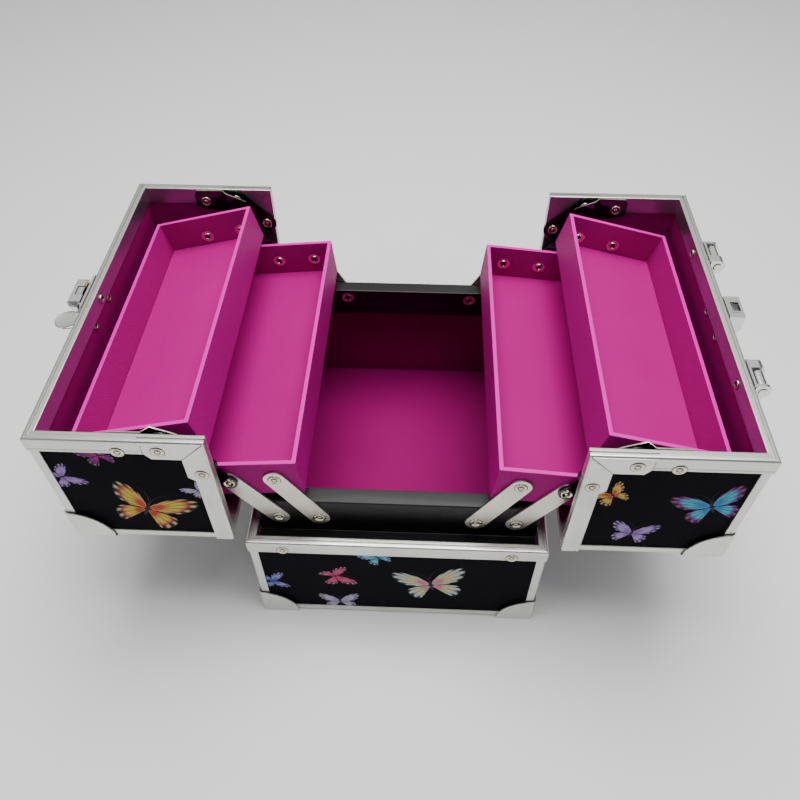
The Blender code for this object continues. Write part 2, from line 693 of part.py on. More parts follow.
def build_lock(lid):
    """A wedge-shaped lock on the left lid, with a bolt that a round thumb disc pushes."""
    u0, u1 = LOCK_U
    heel = LOCK_TOP_Z - LOCK_HEIGHT
    nose = LOCK_TOP_Z - LOCK_NOSE
    wedge = [(u0, LOCK_TOP_Z), (u0, heel), (u0 + 2, heel), (u1, nose), (u1, LOCK_TOP_Z)]
    bm = bmesh.new()
    prism(bm, mirrored(LEFT, wedge), "y", -LOCK_HALF_WIDTH, LOCK_HALF_WIDTH)
    body = part("lock_body", bm, "nickel", lid)

    roof = LOCK_TOP_Z - LOCK_WALL
    room = [(u0 - 1, roof), (u0 - 1, heel + 2), (u0 + 1, heel + 2), (u1 - LOCK_WALL, nose - 1),
            (u1 - LOCK_WALL, roof)]
    tool = bmesh.new()
    prism(tool, mirrored(LEFT, room), "y", -LOCK_HALF_WIDTH + LOCK_WALL, LOCK_HALF_WIDTH - LOCK_WALL)
    combine(body, tool, "DIFFERENCE", "room")
    tool = bmesh.new()
    box(tool, (-BOLT_U[1] - BOLT_SLACK, -BOLT_HALF_WIDTH - BOLT_SLACK, roof - 1),
        (-BOLT_U[0] + BOLT_SLACK, BOLT_HALF_WIDTH + BOLT_SLACK, LOCK_TOP_Z + 1))
    combine(body, tool, "DIFFERENCE", "bolt_hole")
    tool = bmesh.new()
    box(tool, (-BOLT_U[0] - 2.6, -LOCK_HALF_WIDTH - 1, LOCK_SLOT_Z[0]),
        (-BOLT_U[0] + 0.4, -LOCK_HALF_WIDTH + LOCK_WALL + 1, LOCK_SLOT_Z[1]))
    combine(body, tool, "DIFFERENCE", "slot")
    build_bolt(lid)


def build_bolt(lid):
    """The bolt, with a stem out of the lock's side to the thumb disc."""
    slide = joint_empty("lock_slide", (-BOLT_U[0], 0, THUMB_DISC_Z[0]), lid)
    bm = bmesh.new()
    box(bm, (-BOLT_U[1], -BOLT_HALF_WIDTH, BOLT_LOW_Z), (-BOLT_U[0], BOLT_HALF_WIDTH, LOCK_TOP_Z - GAP))
    bolt = part("lock_bolt", bm, "nickel", slide)
    tool = bmesh.new()
    box(tool, (-BOLT_U[0] - 2.0, STEM_END_Y, BOLT_LOW_Z),
        (-BOLT_U[0] - 0.1, -BOLT_HALF_WIDTH + 1, STEM_TOP_Z))
    combine(bolt, tool, "UNION", "stem")
    tool = bmesh.new()
    centre = (-(LID_OUTER_U + 0.8 + THUMB_DISC_RADIUS), -LOCK_HALF_WIDTH - THUMB_DISC_RADIUS - 2.0)
    prism(tool, circle(centre, THUMB_DISC_RADIUS, 24), "z", *THUMB_DISC_Z)
    combine(bolt, tool, "UNION", "disc")


def build_strike(lid):
    """The block on the right lid that the bolt goes into."""
    u0, u1 = LOCK_U[0], STRIKE_OUTER_U
    low = LOCK_TOP_Z - STRIKE_HEIGHT
    outline = [(u0, LOCK_TOP_Z), (u0, low)]
    for angle in (math.radians(degrees) for degrees in range(0, 91, 18)):
        outline.append((u1 - STRIKE_ROUND * (1 - math.sin(angle)),
                        low + STRIKE_ROUND * (1 - math.cos(angle))))
    outline.append((u1, LOCK_TOP_Z))
    bm = bmesh.new()
    prism(bm, outline, "y", -STRIKE_HALF_WIDTH, STRIKE_HALF_WIDTH)
    item = part("strike_box", bm, "nickel", lid)
    pocket = bmesh.new()
    box(pocket, (BOLT_U[0] - BOLT_SLACK, -BOLT_HALF_WIDTH - BOLT_SLACK, LOCK_TOP_Z - POCKET_DEPTH),
        (BOLT_U[1] + BOLT_SLACK, BOLT_HALF_WIDTH + BOLT_SLACK, LOCK_TOP_Z + 1))
    combine(item, pocket, "DIFFERENCE", "pocket")


def build_handle_mount(end, lid):
    """A foot on the lid's rim band with two cheeks for the handle's pin."""
    y = end * MOUNT_Y
    foot_u = LID_OUTER_U + GAP
    bm = bmesh.new()
    box(bm, (foot_u, y - MOUNT_HALF_WIDTH, MOUNT_LOW_Z),
        (foot_u + MOUNT_FOOT_THICK, y + MOUNT_HALF_WIDTH, LOCK_TOP_Z))
    item = part(f"handle_mount_{END_NAME[end]}", bm, "nickel", lid)
    outline = [(foot_u + 0.5, MOUNT_LOW_Z + 0.2)]
    for angle in (math.radians(degrees) for degrees in range(0, 181, 20)):
        outline.append((HANDLE_U + MOUNT_CHEEK_ROUND * math.sin(angle),
                        HANDLE_Z - MOUNT_CHEEK_ROUND * math.cos(angle)))
    outline.append((foot_u + 0.5, LOCK_TOP_Z - 0.6))
    cheeks = bmesh.new()
    for step in (-1, 1):
        inner, outer = sorted((y + step * (MOUNT_HALF_WIDTH - MOUNT_CHEEK), y + step * MOUNT_HALF_WIDTH))
        prism(cheeks, outline, "y", inner, outer)
    combine(item, cheeks, "UNION", "cheeks")
    hole = bmesh.new()
    prism(hole, circle((HANDLE_U, HANDLE_Z), HANDLE_PIN_RADIUS + 0.4), "y",
          y - MOUNT_HALF_WIDTH - 1, y + MOUNT_HALF_WIDTH + 1)
    combine(item, hole, "DIFFERENCE", "hole")


def build_handle(lid):
    """A bail that hangs along the lid, with a moulded grip round its cross bar."""
    pivot = joint_empty("handle_pivot", (HANDLE_U, 0, HANDLE_Z), lid)
    low_z = HANDLE_Z - HANDLE_DROP
    eye_half = MOUNT_HALF_WIDTH - MOUNT_CHEEK - 0.5
    thick, height = BAIL_HALF_THICK, BAIL_HALF_HEIGHT
    bm = bmesh.new()
    box(bm, (HANDLE_U - thick, -MOUNT_Y - eye_half, low_z - height),
        (HANDLE_U + thick, MOUNT_Y + eye_half, low_z + height))
    bail = part("handle_bail", bm, "nickel", pivot)
    arms, eyes, pins = bmesh.new(), bmesh.new(), bmesh.new()
    for end in (FRONT, BACK):
        y = end * MOUNT_Y
        box(arms, (HANDLE_U - thick + 0.1, y - eye_half, low_z - 2),
            (HANDLE_U + thick - 0.1, y + eye_half, HANDLE_Z))
        prism(eyes, circle((HANDLE_U, HANDLE_Z), EYE_RADIUS), "y", y - eye_half + 0.1, y + eye_half - 0.1)
        prism(pins, circle((HANDLE_U, HANDLE_Z), HANDLE_PIN_RADIUS), "y",
              y - MOUNT_HALF_WIDTH - 0.6, y + MOUNT_HALF_WIDTH + 0.6)
    for label, tool in (("arms", arms), ("eyes", eyes), ("pins", pins)):
        combine(bail, tool, "UNION", label)

    grip = bmesh.new()
    half = MOUNT_Y - eye_half - 3
    outline = rounded_rectangle(HANDLE_U - GRIP_HALF_THICK, low_z - GRIP_HALF_HEIGHT,
                                HANDLE_U + GRIP_HALF_THICK, low_z + GRIP_HALF_HEIGHT, GRIP_ROUND)
    prism(grip, outline, "y", -half, half)
    item = part("handle_grip", grip, "grip", pivot)
    bore = bmesh.new()
    box(bore, (HANDLE_U - thick - GAP, -half - 1, low_z - height - GAP),
        (HANDLE_U + thick + GAP, half + 1, low_z + height + GAP))
    combine(item, bore, "DIFFERENCE", "bore")


clear_scene()
MADE = make_materials()
build_base()
left_lid = build_lid(LEFT)
right_lid = build_lid(RIGHT)
build_side_linkage(LEFT, left_lid)
build_side_linkage(RIGHT, right_lid)
build_lock(left_lid)
build_strike(right_lid)
for mount_end in (FRONT, BACK):
    build_handle_mount(mount_end, right_lid)
build_handle(right_lid)
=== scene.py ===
"""Looks of a makeup train case, shown open: two lids, four cantilever trays, a lock and a handle.

Lengths are millimetres in the row frame and become metres in `piece`. Both sides share one
mechanism, so a side is built from outward distances u (x = side * u, side is -1 or +1).
"""

import json
import math
import random

import bmesh
import bpy
from mathutils import Matrix, Vector


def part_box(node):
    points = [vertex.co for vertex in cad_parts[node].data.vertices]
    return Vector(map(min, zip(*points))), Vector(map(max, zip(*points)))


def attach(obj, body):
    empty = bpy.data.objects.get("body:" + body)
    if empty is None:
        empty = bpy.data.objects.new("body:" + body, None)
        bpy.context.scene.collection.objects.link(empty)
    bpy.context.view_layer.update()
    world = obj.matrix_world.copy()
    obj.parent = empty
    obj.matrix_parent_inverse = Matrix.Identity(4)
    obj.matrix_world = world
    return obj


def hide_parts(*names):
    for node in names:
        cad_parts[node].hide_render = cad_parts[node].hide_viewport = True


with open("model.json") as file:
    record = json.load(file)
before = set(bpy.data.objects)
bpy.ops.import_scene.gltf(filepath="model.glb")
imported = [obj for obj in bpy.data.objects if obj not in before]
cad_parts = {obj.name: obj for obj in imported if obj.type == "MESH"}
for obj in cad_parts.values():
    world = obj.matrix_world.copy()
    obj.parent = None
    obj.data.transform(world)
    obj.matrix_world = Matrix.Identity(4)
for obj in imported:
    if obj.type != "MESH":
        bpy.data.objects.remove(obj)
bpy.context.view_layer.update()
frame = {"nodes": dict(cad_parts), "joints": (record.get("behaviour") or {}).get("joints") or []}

MM = 0.001
SIDES = {"left": -1, "right": 1}
SIDE_OF = {-1: "left", 1: "right"}
ENDS = {"front": -1, "back": 1}


def box_mm(node):
    low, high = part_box(node)
    return [v / MM for v in low], [v / MM for v in high]


def reach(low, high):
    """How far out a box starts and ends, as (near, far)."""
    return sorted((abs(low[0]), abs(high[0])))


def joint_point(name):
    """A joint's place as (u, z)."""
    for joint in frame["joints"]:
        if joint["name"] == name:
            x, _, z = joint["pos_m"]
            return abs(x) / MM, z / MM
    raise KeyError(name)


# ---------------------------------------------------------------- materials

class Nodes:
    """A material's node tree, with short ways to add what most of the finishes share."""

    def __init__(self, name):
        self.material = bpy.data.materials.new(name)
        self.material.use_nodes = True
        self.tree = self.material.node_tree
        self.shader = self.tree.nodes["Principled BSDF"]
        self.where = self.tree.nodes.new("ShaderNodeTexCoord").outputs["Object"]

    def add(self, kind, sockets=None, **settings):
        made = self.tree.nodes.new(kind)
        for key, value in settings.items():
            setattr(made, key, value)
        for key, value in (sockets or {}).items():
            if isinstance(value, bpy.types.NodeSocket):
                self.tree.links.new(value, made.inputs[key])
            else:
                made.inputs[key].default_value = value
        return made

    def noise(self, scale, detail=3.0, roughness=0.55, stretch=(1, 1, 1)):
        place = self.add("ShaderNodeMapping", {"Vector": self.where, "Scale": stretch})
        made = self.add("ShaderNodeTexNoise", {
            "Vector": place.outputs[0], "Scale": scale, "Detail": detail, "Roughness": roughness})
        return made.outputs[0]

    def wave(self, pitch_mm, direction):
        made = self.add("ShaderNodeTexWave", {
            "Vector": self.where, "Scale": 0.314 / (pitch_mm * MM), "Distortion": 0.3},
            wave_type="BANDS", bands_direction=direction, wave_profile="SIN")
        return made.outputs["Fac"]

    def weave(self, pitch_mm):
        """Threads along all three axes, so that every panel has both directions."""
        across = self.sum(self.wave(pitch_mm, "X"), self.wave(pitch_mm, "Y"))
        return self.sum(across, self.wave(pitch_mm, "Z"))

    def between(self, value, low, high, start=0.3, end=0.7):
        made = self.add("ShaderNodeMapRange", {
            "Value": value, "From Min": start, "From Max": end, "To Min": low, "To Max": high})
        return made.outputs[0]

    def sum(self, first, second):
        return self.add("ShaderNodeMath", {0: first, 1: second}, operation="ADD").outputs[0]

    def blend(self, factor, first, second):
        made = self.add("ShaderNodeMix", {0: factor}, data_type="RGBA", blend_type="MIX")
        for index, colour in ((6, first), (7, second)):
            if isinstance(colour, bpy.types.NodeSocket):
                self.tree.links.new(colour, made.inputs[index])
            else:
                made.inputs[index].default_value = (*colour, 1.0)
        return made.outputs[2]

    def bump(self, height, depth_mm, strength):
        made = self.add("ShaderNodeBump", {
            "Height": height, "Distance": depth_mm * MM, "Strength": strength})
        self.tree.links.new(made.outputs[0], self.shader.inputs["Normal"])

    def set(self, **values):
        for key, value in values.items():
            socket = self.shader.inputs[key.replace("_", " ")]
            if isinstance(value, bpy.types.NodeSocket):
                self.tree.links.new(value, socket)
            elif isinstance(value, tuple):
                socket.default_value = (*value, 1.0)
            else:
                socket.default_value = value


MATERIALS = {}
PANEL_PITCH, LINING_PITCH = 0.9, 0.8


def metal(name, bright, dull, roughness, grain_axis=None, scratches=1.0):
    """Bare or plated metal: drawn grain along one axis, cloudy handling marks, fine scratches."""
    made = Nodes(name)
    stretch = [1.0, 1.0, 1.0]
    if grain_axis is not None:
        stretch = [1.0 if k == grain_axis else 60.0 for k in range(3)]
    grain = made.noise(55.0 if grain_axis is not None else 900.0, 4.0, 0.6, stretch)
    cloud = made.noise(26.0, 4.0, 0.6)
    scratch = made.noise(140.0, 2.0, 0.7, (9.0, 1.0, 0.6))
    tone = made.blend(made.between(cloud, 0.0, 1.0), bright, dull)
    tone = made.blend(made.between(grain, 0.0, 0.22), tone, tuple(0.55 * v for v in dull))
    made.set(Base_Color=tone, Metallic=1.0)
    wear = made.between(scratch, 0.0, 0.07 * scratches, 0.58, 0.72)
    rough = made.sum(made.between(grain, roughness - 0.05, roughness + 0.07),
                     made.between(cloud, -0.03, 0.05))
    made.set(Roughness=made.sum(rough, wear))
    made.bump(made.sum(grain, made.between(scratch, 0.0, 0.6, 0.6, 0.75)), 0.012, 0.7)
    MATERIALS[name] = made.material


def cloth(name, deep, light, pitch_mm, rib, depth_mm, roughness, sheen, sheen_tint, gloss):
    """Woven or ribbed cloth glued to a board."""
    made = Nodes(name)
    if rib:
        threads = made.sum(made.wave(pitch_mm, "DIAGONAL"), made.noise(900.0, 2.0, 0.6))
    else:
        threads = made.weave(pitch_mm)
    fibre = made.noise(2600.0, 3.0, 0.7)
    patch = made.noise(18.0, 3.0, 0.5)
    tone = made.blend(made.between(threads, 0.15, 0.85, 0.2, 1.6), deep, light)
    tone = made.blend(made.between(patch, 0.0, 0.35), tone, deep)
    tone = made.blend(made.between(fibre, 0.0, 0.25, 0.45, 0.75), tone, light)
    made.set(Base_Color=tone, Sheen_Weight=sheen, Sheen_Roughness=0.35, Sheen_Tint=sheen_tint)
    made.set(Specular_IOR_Level=gloss, Roughness=made.between(fibre, roughness - 0.06, roughness + 0.08))
    made.bump(made.sum(threads, fibre), depth_mm, 0.8)
    MATERIALS[name] = made.material


def enamel(name, colour, worn, roughness, coat, gloss):
    """Paint or moulded plastic with soft smears and dust in its gloss."""
    made = Nodes(name)
    smear = made.noise(30.0, 5.0, 0.6, (0.4, 2.0, 2.0))
    peel = made.noise(420.0, 2.0, 0.5)
    dust = made.noise(3200.0, 1.0, 0.5)
    tone = made.blend(made.between(smear, 0.0, 0.6), colour, worn)
    tone = made.blend(made.between(dust, 0.0, 0.5, 0.70, 0.80), tone, (0.30, 0.30, 0.31))
    made.set(Base_Color=tone, Coat_Weight=coat, Coat_Roughness=0.08, Specular_IOR_Level=gloss)
    made.set(Roughness=made.sum(made.between(smear, roughness - 0.06, roughness + 0.10),
                                made.between(dust, 0.0, 0.2, 0.66, 0.8)))
    made.bump(peel, 0.03, 0.6)
    MATERIALS[name] = made.material


def printed(name):
    """Ink in the panel cloth: the colour comes from the mesh, the threads show through."""
    made = Nodes(name)
    ink = made.add("ShaderNodeAttribute", attribute_name="ink").outputs["Color"]
    threads = made.weave(PANEL_PITCH)
    fade = made.noise(700.0, 3.0, 0.6)
    tone = made.blend(made.between(threads, 0.0, 0.35, 0.4, 1.6), ink, (0.01, 0.01, 0.02))
    tone = made.blend(made.between(fade, 0.0, 0.3, 0.45, 0.75), tone, (0.02, 0.015, 0.03))
    made.set(Base_Color=tone, Roughness=made.between(fade, 0.55, 0.72))
    made.set(Specular_IOR_Level=0.1)
    made.bump(threads, 0.04, 0.7)
    MATERIALS[name] = made.material


def paper_floor(name):
    made = Nodes(name)
    mottle = made.noise(3.0, 4.0, 0.5)
    tooth = made.noise(400.0, 2.0, 0.5)
    made.set(Base_Color=made.blend(made.between(mottle, 0.0, 1.0), (0.92, 0.92, 0.92),
                                   (0.90, 0.90, 0.905)))
    made.set(Roughness=made.between(tooth, 0.75, 0.9))
    made.bump(tooth, 0.02, 0.3)
    MATERIALS[name] = made.material


def make_materials():
    for axis, letter in enumerate("xyz"):
        metal(f"aluminium_{letter}", (0.74, 0.74, 0.705), (0.62, 0.62, 0.585), 0.34, axis)
    metal("aluminium_plain", (0.75, 0.75, 0.715), (0.65, 0.65, 0.615), 0.33)
    metal("aluminium_shaded", (0.42, 0.40, 0.43), (0.34, 0.32, 0.35), 0.36, 2)
    metal("nickel", (0.76, 0.70, 0.56), (0.60, 0.55, 0.42), 0.20)
    metal("chrome", (0.88, 0.88, 0.87), (0.76, 0.76, 0.75), 0.20)
    metal("black_nickel", (0.085, 0.075, 0.085), (0.045, 0.040, 0.046), 0.17, None, 2.0)
    metal("arm_steel", (0.78, 0.74, 0.66), (0.62, 0.585, 0.51), 0.33, None, 2.0)
    metal("brass", (0.78, 0.58, 0.26), (0.60, 0.42, 0.16), 0.26)
    metal("dark_steel", (0.060, 0.060, 0.064), (0.030, 0.030, 0.033), 0.26, None, 2.0)
    enamel("black_enamel", (0.002, 0.002, 0.003), (0.005, 0.005, 0.006), 0.30, 0.03, 0.22)
    # a lighter black for the bars' top flange: a painted reflection
    enamel("lit_top_enamel", (0.014, 0.013, 0.014), (0.024, 0.023, 0.023), 0.38, 0.05, 0.26)
    enamel("grip_plastic", (0.008, 0.008, 0.009), (0.018, 0.018, 0.020), 0.42, 0.0, 0.3)
    cloth("panel_cloth", (0.0010, 0.0010, 0.0026), (0.0028, 0.0028, 0.0052), PANEL_PITCH, False,
          0.05, 0.62, 0.0, (0.5, 0.5, 0.7), 0.03)
    pink = (1.0, 0.1, 0.6)
    # one magenta cloth in shaded and lit copies: against the tray walls, the lid lining and the base floor
    # are darker as painted shade, the tray floors lighter as painted light
    for name, deep, light, depth, gloss in (
            ("lining_cloth_shaded", (0.22, 0.0005, 0.092), (0.32, 0.001, 0.144), 0.05, 0.06),
            ("tray_cloth", (0.31, 0.0004, 0.150), (0.42, 0.0010, 0.205), 0.05, 0.06),
            ("tray_floor_cloth_lit", (0.37, 0.0002, 0.165), (0.47, 0.0006, 0.215), 0.04, 0.05),
            ("base_floor_cloth_shaded", (0.27, 0.0004, 0.115), (0.36, 0.001, 0.155), 0.04, 0.05)):
        cloth(name, deep, light, LINING_PITCH, True, depth, 0.50, 0.0, pink, gloss)
    # the tray rims' lighter pink is a painted highlight
    cloth("tray_edge_lit", (0.66, 0.004, 0.37), (0.80, 0.012, 0.46), LINING_PITCH, True, 0.04, 0.40,
          0.04, (1.0, 0.3, 0.8), 0.25)
    printed("print_ink")
    paper_floor("paper")


# ---------------------------------------------------------------- meshes

def bridge(bm, ring, following):
    """A band of faces between two rings of as many vertices."""
    count = len(ring)
    return [bm.faces.new((ring[n], ring[(n + 1) % count], following[(n + 1) % count], following[n]))
            for n in range(count)]


def prism(bm, outline, axis, start, end, index=0):
    """Extrude an outline along an axis. The outline's plane is YZ, XZ or XY."""
    def point(pair, level):
        a, b = pair
        return {"x": (level, a, b), "y": (a, level, b), "z": (a, b, level)}[axis]

    rings = [[bm.verts.new(point(pair, level)) for pair in outline] for level in (start, end)]
    for face in bridge(bm, *rings) + [bm.faces.new(ring) for ring in rings]:
        face.material_index = index


def box(bm, low, high, index=0):
    outline = [(low[0], low[1]), (high[0], low[1]), (high[0], high[1]), (low[0], high[1])]
    prism(bm, outline, "z", low[2], high[2], index)


def arc(centre, radius, start, end, steps):
    """Points on an arc between two angles in degrees."""
    angles = [math.radians(start + (end - start) * n / steps) for n in range(steps + 1)]
    return [(centre[0] + radius * math.cos(a), centre[1] + radius * math.sin(a)) for a in angles]


def capsule(start, end, width):
    """The outline of a flat bar with round ends."""
    along = math.degrees(math.atan2(end[1] - start[1], end[0] - start[0]))
    return (arc(end, width / 2, along - 90, along + 90, 14)
            + arc(start, width / 2, along + 90, along + 270, 14))


def rounded_rectangle(a0, b0, a1, b1, radius):
    points = []
    for a, b, start in ((a1 - radius, b0 + radius, -90), (a1 - radius, b1 - radius, 0),
                        (a0 + radius, b1 - radius, 90), (a0 + radius, b0 + radius, 180)):
        points += arc((a, b), radius, start, start + 90, 6)
    return points


def lathe(bm, origin, axis, sign, profile, steps=28, index=0, bowl=None):
    """Turn (radius, height) pairs about an axis through origin; height runs along sign * axis.

    Faces between the two radii of a bowl take the finish after the rest's, a darker one that is painted
    shade.
    """
    k = "xyz".index(axis)
    i, j = [n for n in range(3) if n != k]

    def vertex(radius, height, angle):
        point = list(origin)
        point[k] += sign * height
        point[i] += radius * math.cos(angle)
        point[j] += radius * math.sin(angle)
        return bm.verts.new(point)

    rings = []
    for radius, height in profile:
        if radius == 0:
            rings.append([vertex(0, height, 0)])
        else:
            rings.append([vertex(radius, height, 2 * math.pi * n / steps) for n in range(steps)])
    for at, (ring, following) in enumerate(zip(rings, rings[1:])):
        radii = (profile[at][0], profile[at + 1][0])
        dark = bowl is not None and bowl[0] <= min(radii) and max(radii) <= bowl[1]
        for n in range(steps):
            m = (n + 1) % steps
            corners = [ring[n % len(ring)], ring[m % len(ring)],
                       following[m % len(following)], following[n % len(following)]]
            corners = [c for spot, c in enumerate(corners) if c not in corners[:spot]]
            bm.faces.new(corners).material_index = index + 1 if dark else index


def soften(bm, radius, segments=2, angle=40.0):
    """Round every edge that is sharper than an angle."""
    edges = [e for e in bm.edges
             if len(e.link_faces) == 2 and e.calc_face_angle(0.0) > math.radians(angle)]
    bmesh.ops.bevel(bm, geom=edges, offset=radius, segments=segments, profile=0.5,
                    affect="EDGES", clamp_overlap=True)


def new_object(name, bm, scale=1.0):
    """A mesh put in the scene as an object, with its faces turned outwards."""
    bmesh.ops.recalc_face_normals(bm, faces=bm.faces)
    bm.transform(Matrix.Scale(scale, 4))
    mesh = bpy.data.meshes.new(name)
    bm.to_mesh(mesh)
    bm.free()
    made = bpy.data.objects.new(name, mesh)
    bpy.context.scene.collection.objects.link(made)
    return made


def merge(bm, other):
    """Add one mesh to another."""
    mesh = bpy.data.meshes.new("merged")
    other.to_mesh(mesh)
    other.free()
    bm.from_mesh(mesh)
    bpy.data.meshes.remove(mesh)


def add_rounded(bm, radius, shape, *values):
    """Add a box or a prism whose edges get a rounding of their own."""
    added = bmesh.new()
    shape(added, *values)
    soften(added, radius)
    merge(bm, added)


def carve(bm, *steps):
    """A mesh after boolean steps, each an operation and the mesh that it uses."""
    items = [new_object("body", bm)]
    for operation, tool in steps:
        items.append(new_object("tool", tool))
        modifier = items[0].modifiers.new(operation.lower(), "BOOLEAN")
        modifier.operation, modifier.solver, modifier.object = operation, "EXACT", items[-1]
    made = bmesh.new()
    made.from_object(items[0], bpy.context.evaluated_depsgraph_get())
    for item in items:
        bpy.data.objects.remove(item, do_unlink=True)
    return made


def piece(name, bm, body, materials, replaces=()):
    """A visual piece that rides a body of the frame and may stand for CAD nodes."""
    made = new_object(name, bm, MM)
    mesh = made.data
    for material in materials:
        mesh.materials.append(MATERIALS[material])
    mesh.shade_smooth()
    mesh.set_sharp_from_angle(angle=math.radians(46))
    weighted = made.modifiers.new("weighted", "WEIGHTED_NORMAL")
    weighted.keep_sharp = True
    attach(made, body)
    if replaces:
        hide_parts(*replaces)
    return made


def carry_over(node, material):
    """A CAD node that stays as it is, with its finish."""
    item = frame["nodes"][node]
    item.data.materials.clear()
    item.data.materials.append(MATERIALS[material])


# ---------------------------------------------------------------- rivets

# (radius, height) of a dished head, of a tubular end on its washer, and of a small domed head
HEAD = [(4.0, 0.0), (4.0, 0.30), (3.75, 0.62), (3.35, 0.78), (3.0, 0.72), (2.7, 0.50), (2.0, 0.16),
        (1.4, 0.12), (1.2, 0.40), (0.8, 0.58), (0, 0.62)]
TAIL = [(5.0, 0.0), (5.0, 0.28), (4.75, 0.42), (4.3, 0.34), (3.1, 0.26), (2.95, 0.72), (2.65, 0.92),
        (2.25, 0.92), (1.95, 0.66), (1.7, -0.2), (0, -0.3)]
SMALL = [(2.6, 0.0), (2.55, 0.18), (2.2, 0.45), (1.6, 0.62), (0.8, 0.70), (0, 0.72)]
TUBE = [(3.1, 0.0)] + TAIL[4:]
# the radii between which each is dark inside: painted shade in the head's dish and in the tube's hollow
HEAD_BOWL, TAIL_BOWL = (1.3, 2.1), (0.0, 1.98)
SHADOW_RING = 0.35
PIN_RADIUS = 1.8
# the second finish darkens rivet dishes, hollows and the rings under heads as painted shade
RIVETED = ["nickel", "dark_steel"]
PLATE_FINISHES = ["aluminium_plain"] + RIVETED


def head_on(bm, x, y, z, axis, sign, profile=HEAD, scale=1.0, index=0, bowl=HEAD_BOWL):
    """A rivet head on a face, closed underneath, over a dark ring that is painted shadow; the bowl of its
    dish is painted shade.
    """
    shaped = [(r * scale, h) for r, h in profile]
    edge = shaped[0][0]
    lathe(bm, (x, y, z), axis, sign, [(0, -0.15), (edge, -0.15)] + shaped, index=index, bowl=bowl)
    lathe(bm, (x, y, z), axis, sign, [(0, -0.12), (edge + SHADOW_RING, -0.12),
                                      (edge + SHADOW_RING, 0.04), (0, 0.04)], index=index + 1)


def pinned(bm, side, end, point, face_y, wall_in_y):
    """A rivet from a plate's outer face through a wall: head, pin and tail in one body."""
    tail_y = wall_in_y - 0.3
    centre = (side * point[0], 0, point[1])
    profile = [(r, face_y + h) for r, h in reversed(HEAD)]
    profile += [(4.0, face_y - 1.0), (0, face_y - 1.0)]
    lathe(bm, centre, "y", end, profile, index=1, bowl=HEAD_BOWL)
    profile = [(0, face_y - 1.0), (PIN_RADIUS, face_y - 1.0), (PIN_RADIUS, tail_y), (TAIL[0][0], tail_y)]
    profile += [(r, tail_y - h) for r, h in TAIL[1:]]
    lathe(bm, centre, "y", end, profile, index=1, bowl=TAIL_BOWL)
    # a dark ring under the head as painted shadow; the head's dish and the tail's hollow are painted shade
    # through their bowls
    edge = HEAD[0][0] + SHADOW_RING
    lathe(bm, centre, "y", end, [(0, face_y - 0.1), (edge, face_y - 0.1), (edge, face_y + 0.04),
                                 (0, face_y + 0.04)], index=2)


# ---------------------------------------------------------------- edge profiles

RIM_BAND, EDGE_BAND, LEG_DEPTH, WALL_DEPTH = 11.5, 6.5, 13.0, 6.5
MITRE = 0.08

# (distance in from the wall's outer face, distance in from the rim)
RIM_PROFILE = [
    (1.0, 11.5), (0.25, 11.5), (0.0, 11.25), (0.0, 9.6), (0.3, 9.3), (0.3, 8.9), (0.0, 8.6),
    (0.0, 1.6), (0.12, 0.95), (0.4, 0.42), (0.85, 0.1), (1.4, 0.0), (2.7, 0.0), (2.8, 1.1),
    (3.7, 1.1), (3.8, 0.0), (5.7, 0.0), (6.2, 0.14), (6.5, 0.55), (6.5, 12.9), (6.35, 13.0),
    (5.65, 13.0), (5.5, 12.9), (5.5, 1.25), (1.0, 1.25)]
LEG_FACE = RIM_PROFILE.index((6.5, 0.55))
# (distances in from the two walls' outer faces)
EDGE_PROFILE = [
    (0.4, 6.2), (0.4, 1.9), (0.52, 1.3), (0.85, 0.85), (1.3, 0.52), (1.9, 0.4), (6.2, 0.4),
    (6.45, 0.55), (6.5, 1.15), (1.25, 1.15), (1.15, 1.25), (1.15, 6.5), (0.55, 6.45)]


class Shell:
    """The box of the base or of a lid, with some faces open."""

    def __init__(self, name, body, open_faces):
        self.name, self.body = name, body
        self.low, self.high = box_mm(f"{name}_frame")
        self.open_faces = open_faces

    def plane(self, face):
        """(axis, coordinate, inward step) of a face."""
        k = "xyz".index(face[1])
        return (k, self.low[k], 1) if face[0] == "-" else (k, self.high[k], -1)

    def closed_faces(self):
        return [s + a for a in "xyz" for s in "-+" if s + a not in self.open_faces]


def member(bm, shell, first, second, profile, shift_at):
    """Sweep a profile along the edge where two faces meet; first is the wall, second the rim."""
    i, plane_i, step_i = shell.plane(first)
    j, plane_j, step_j = shell.plane(second)
    k = 3 - i - j
    rings = []
    for sign, t in (("-", shell.low[k]), ("+", shell.high[k])):
        shift = shift_at(sign + "xyz"[k])
        ring = []
        for d, w in profile:
            point = [0.0] * 3
            point[i] = plane_i + step_i * d
            point[j] = plane_j + step_j * w
            point[k] = t + (1 if sign == "-" else -1) * (shift(d, w) + MITRE)
            ring.append(bm.verts.new(point))
        rings.append(ring)
    caps = [bm.faces.new(ring) for ring in rings]
    walls = bridge(bm, *rings)
    for face in caps + walls:
        face.material_index = k
    if profile is RIM_PROFILE:
        walls[LEG_FACE].material_index = 3


def seam_rims(bm, shell):
    """Tongues that fill the groove of the end walls' rims, up to the free corner's plates."""
    side = 1 if shell.low[0] > 0 else -1
    near, far = reach(shell.low, shell.high)
    for end in (-1, 1):
        ys = sorted(end * (shell.high[1] - d) for d in (2.72, 3.78))
        xs = sorted((side * (near + 38.0), side * (far - 4.0)))
        box(bm, (xs[0], ys[0], shell.high[2] - 1.3), (xs[1], ys[1], shell.high[2] - 0.12), 0)


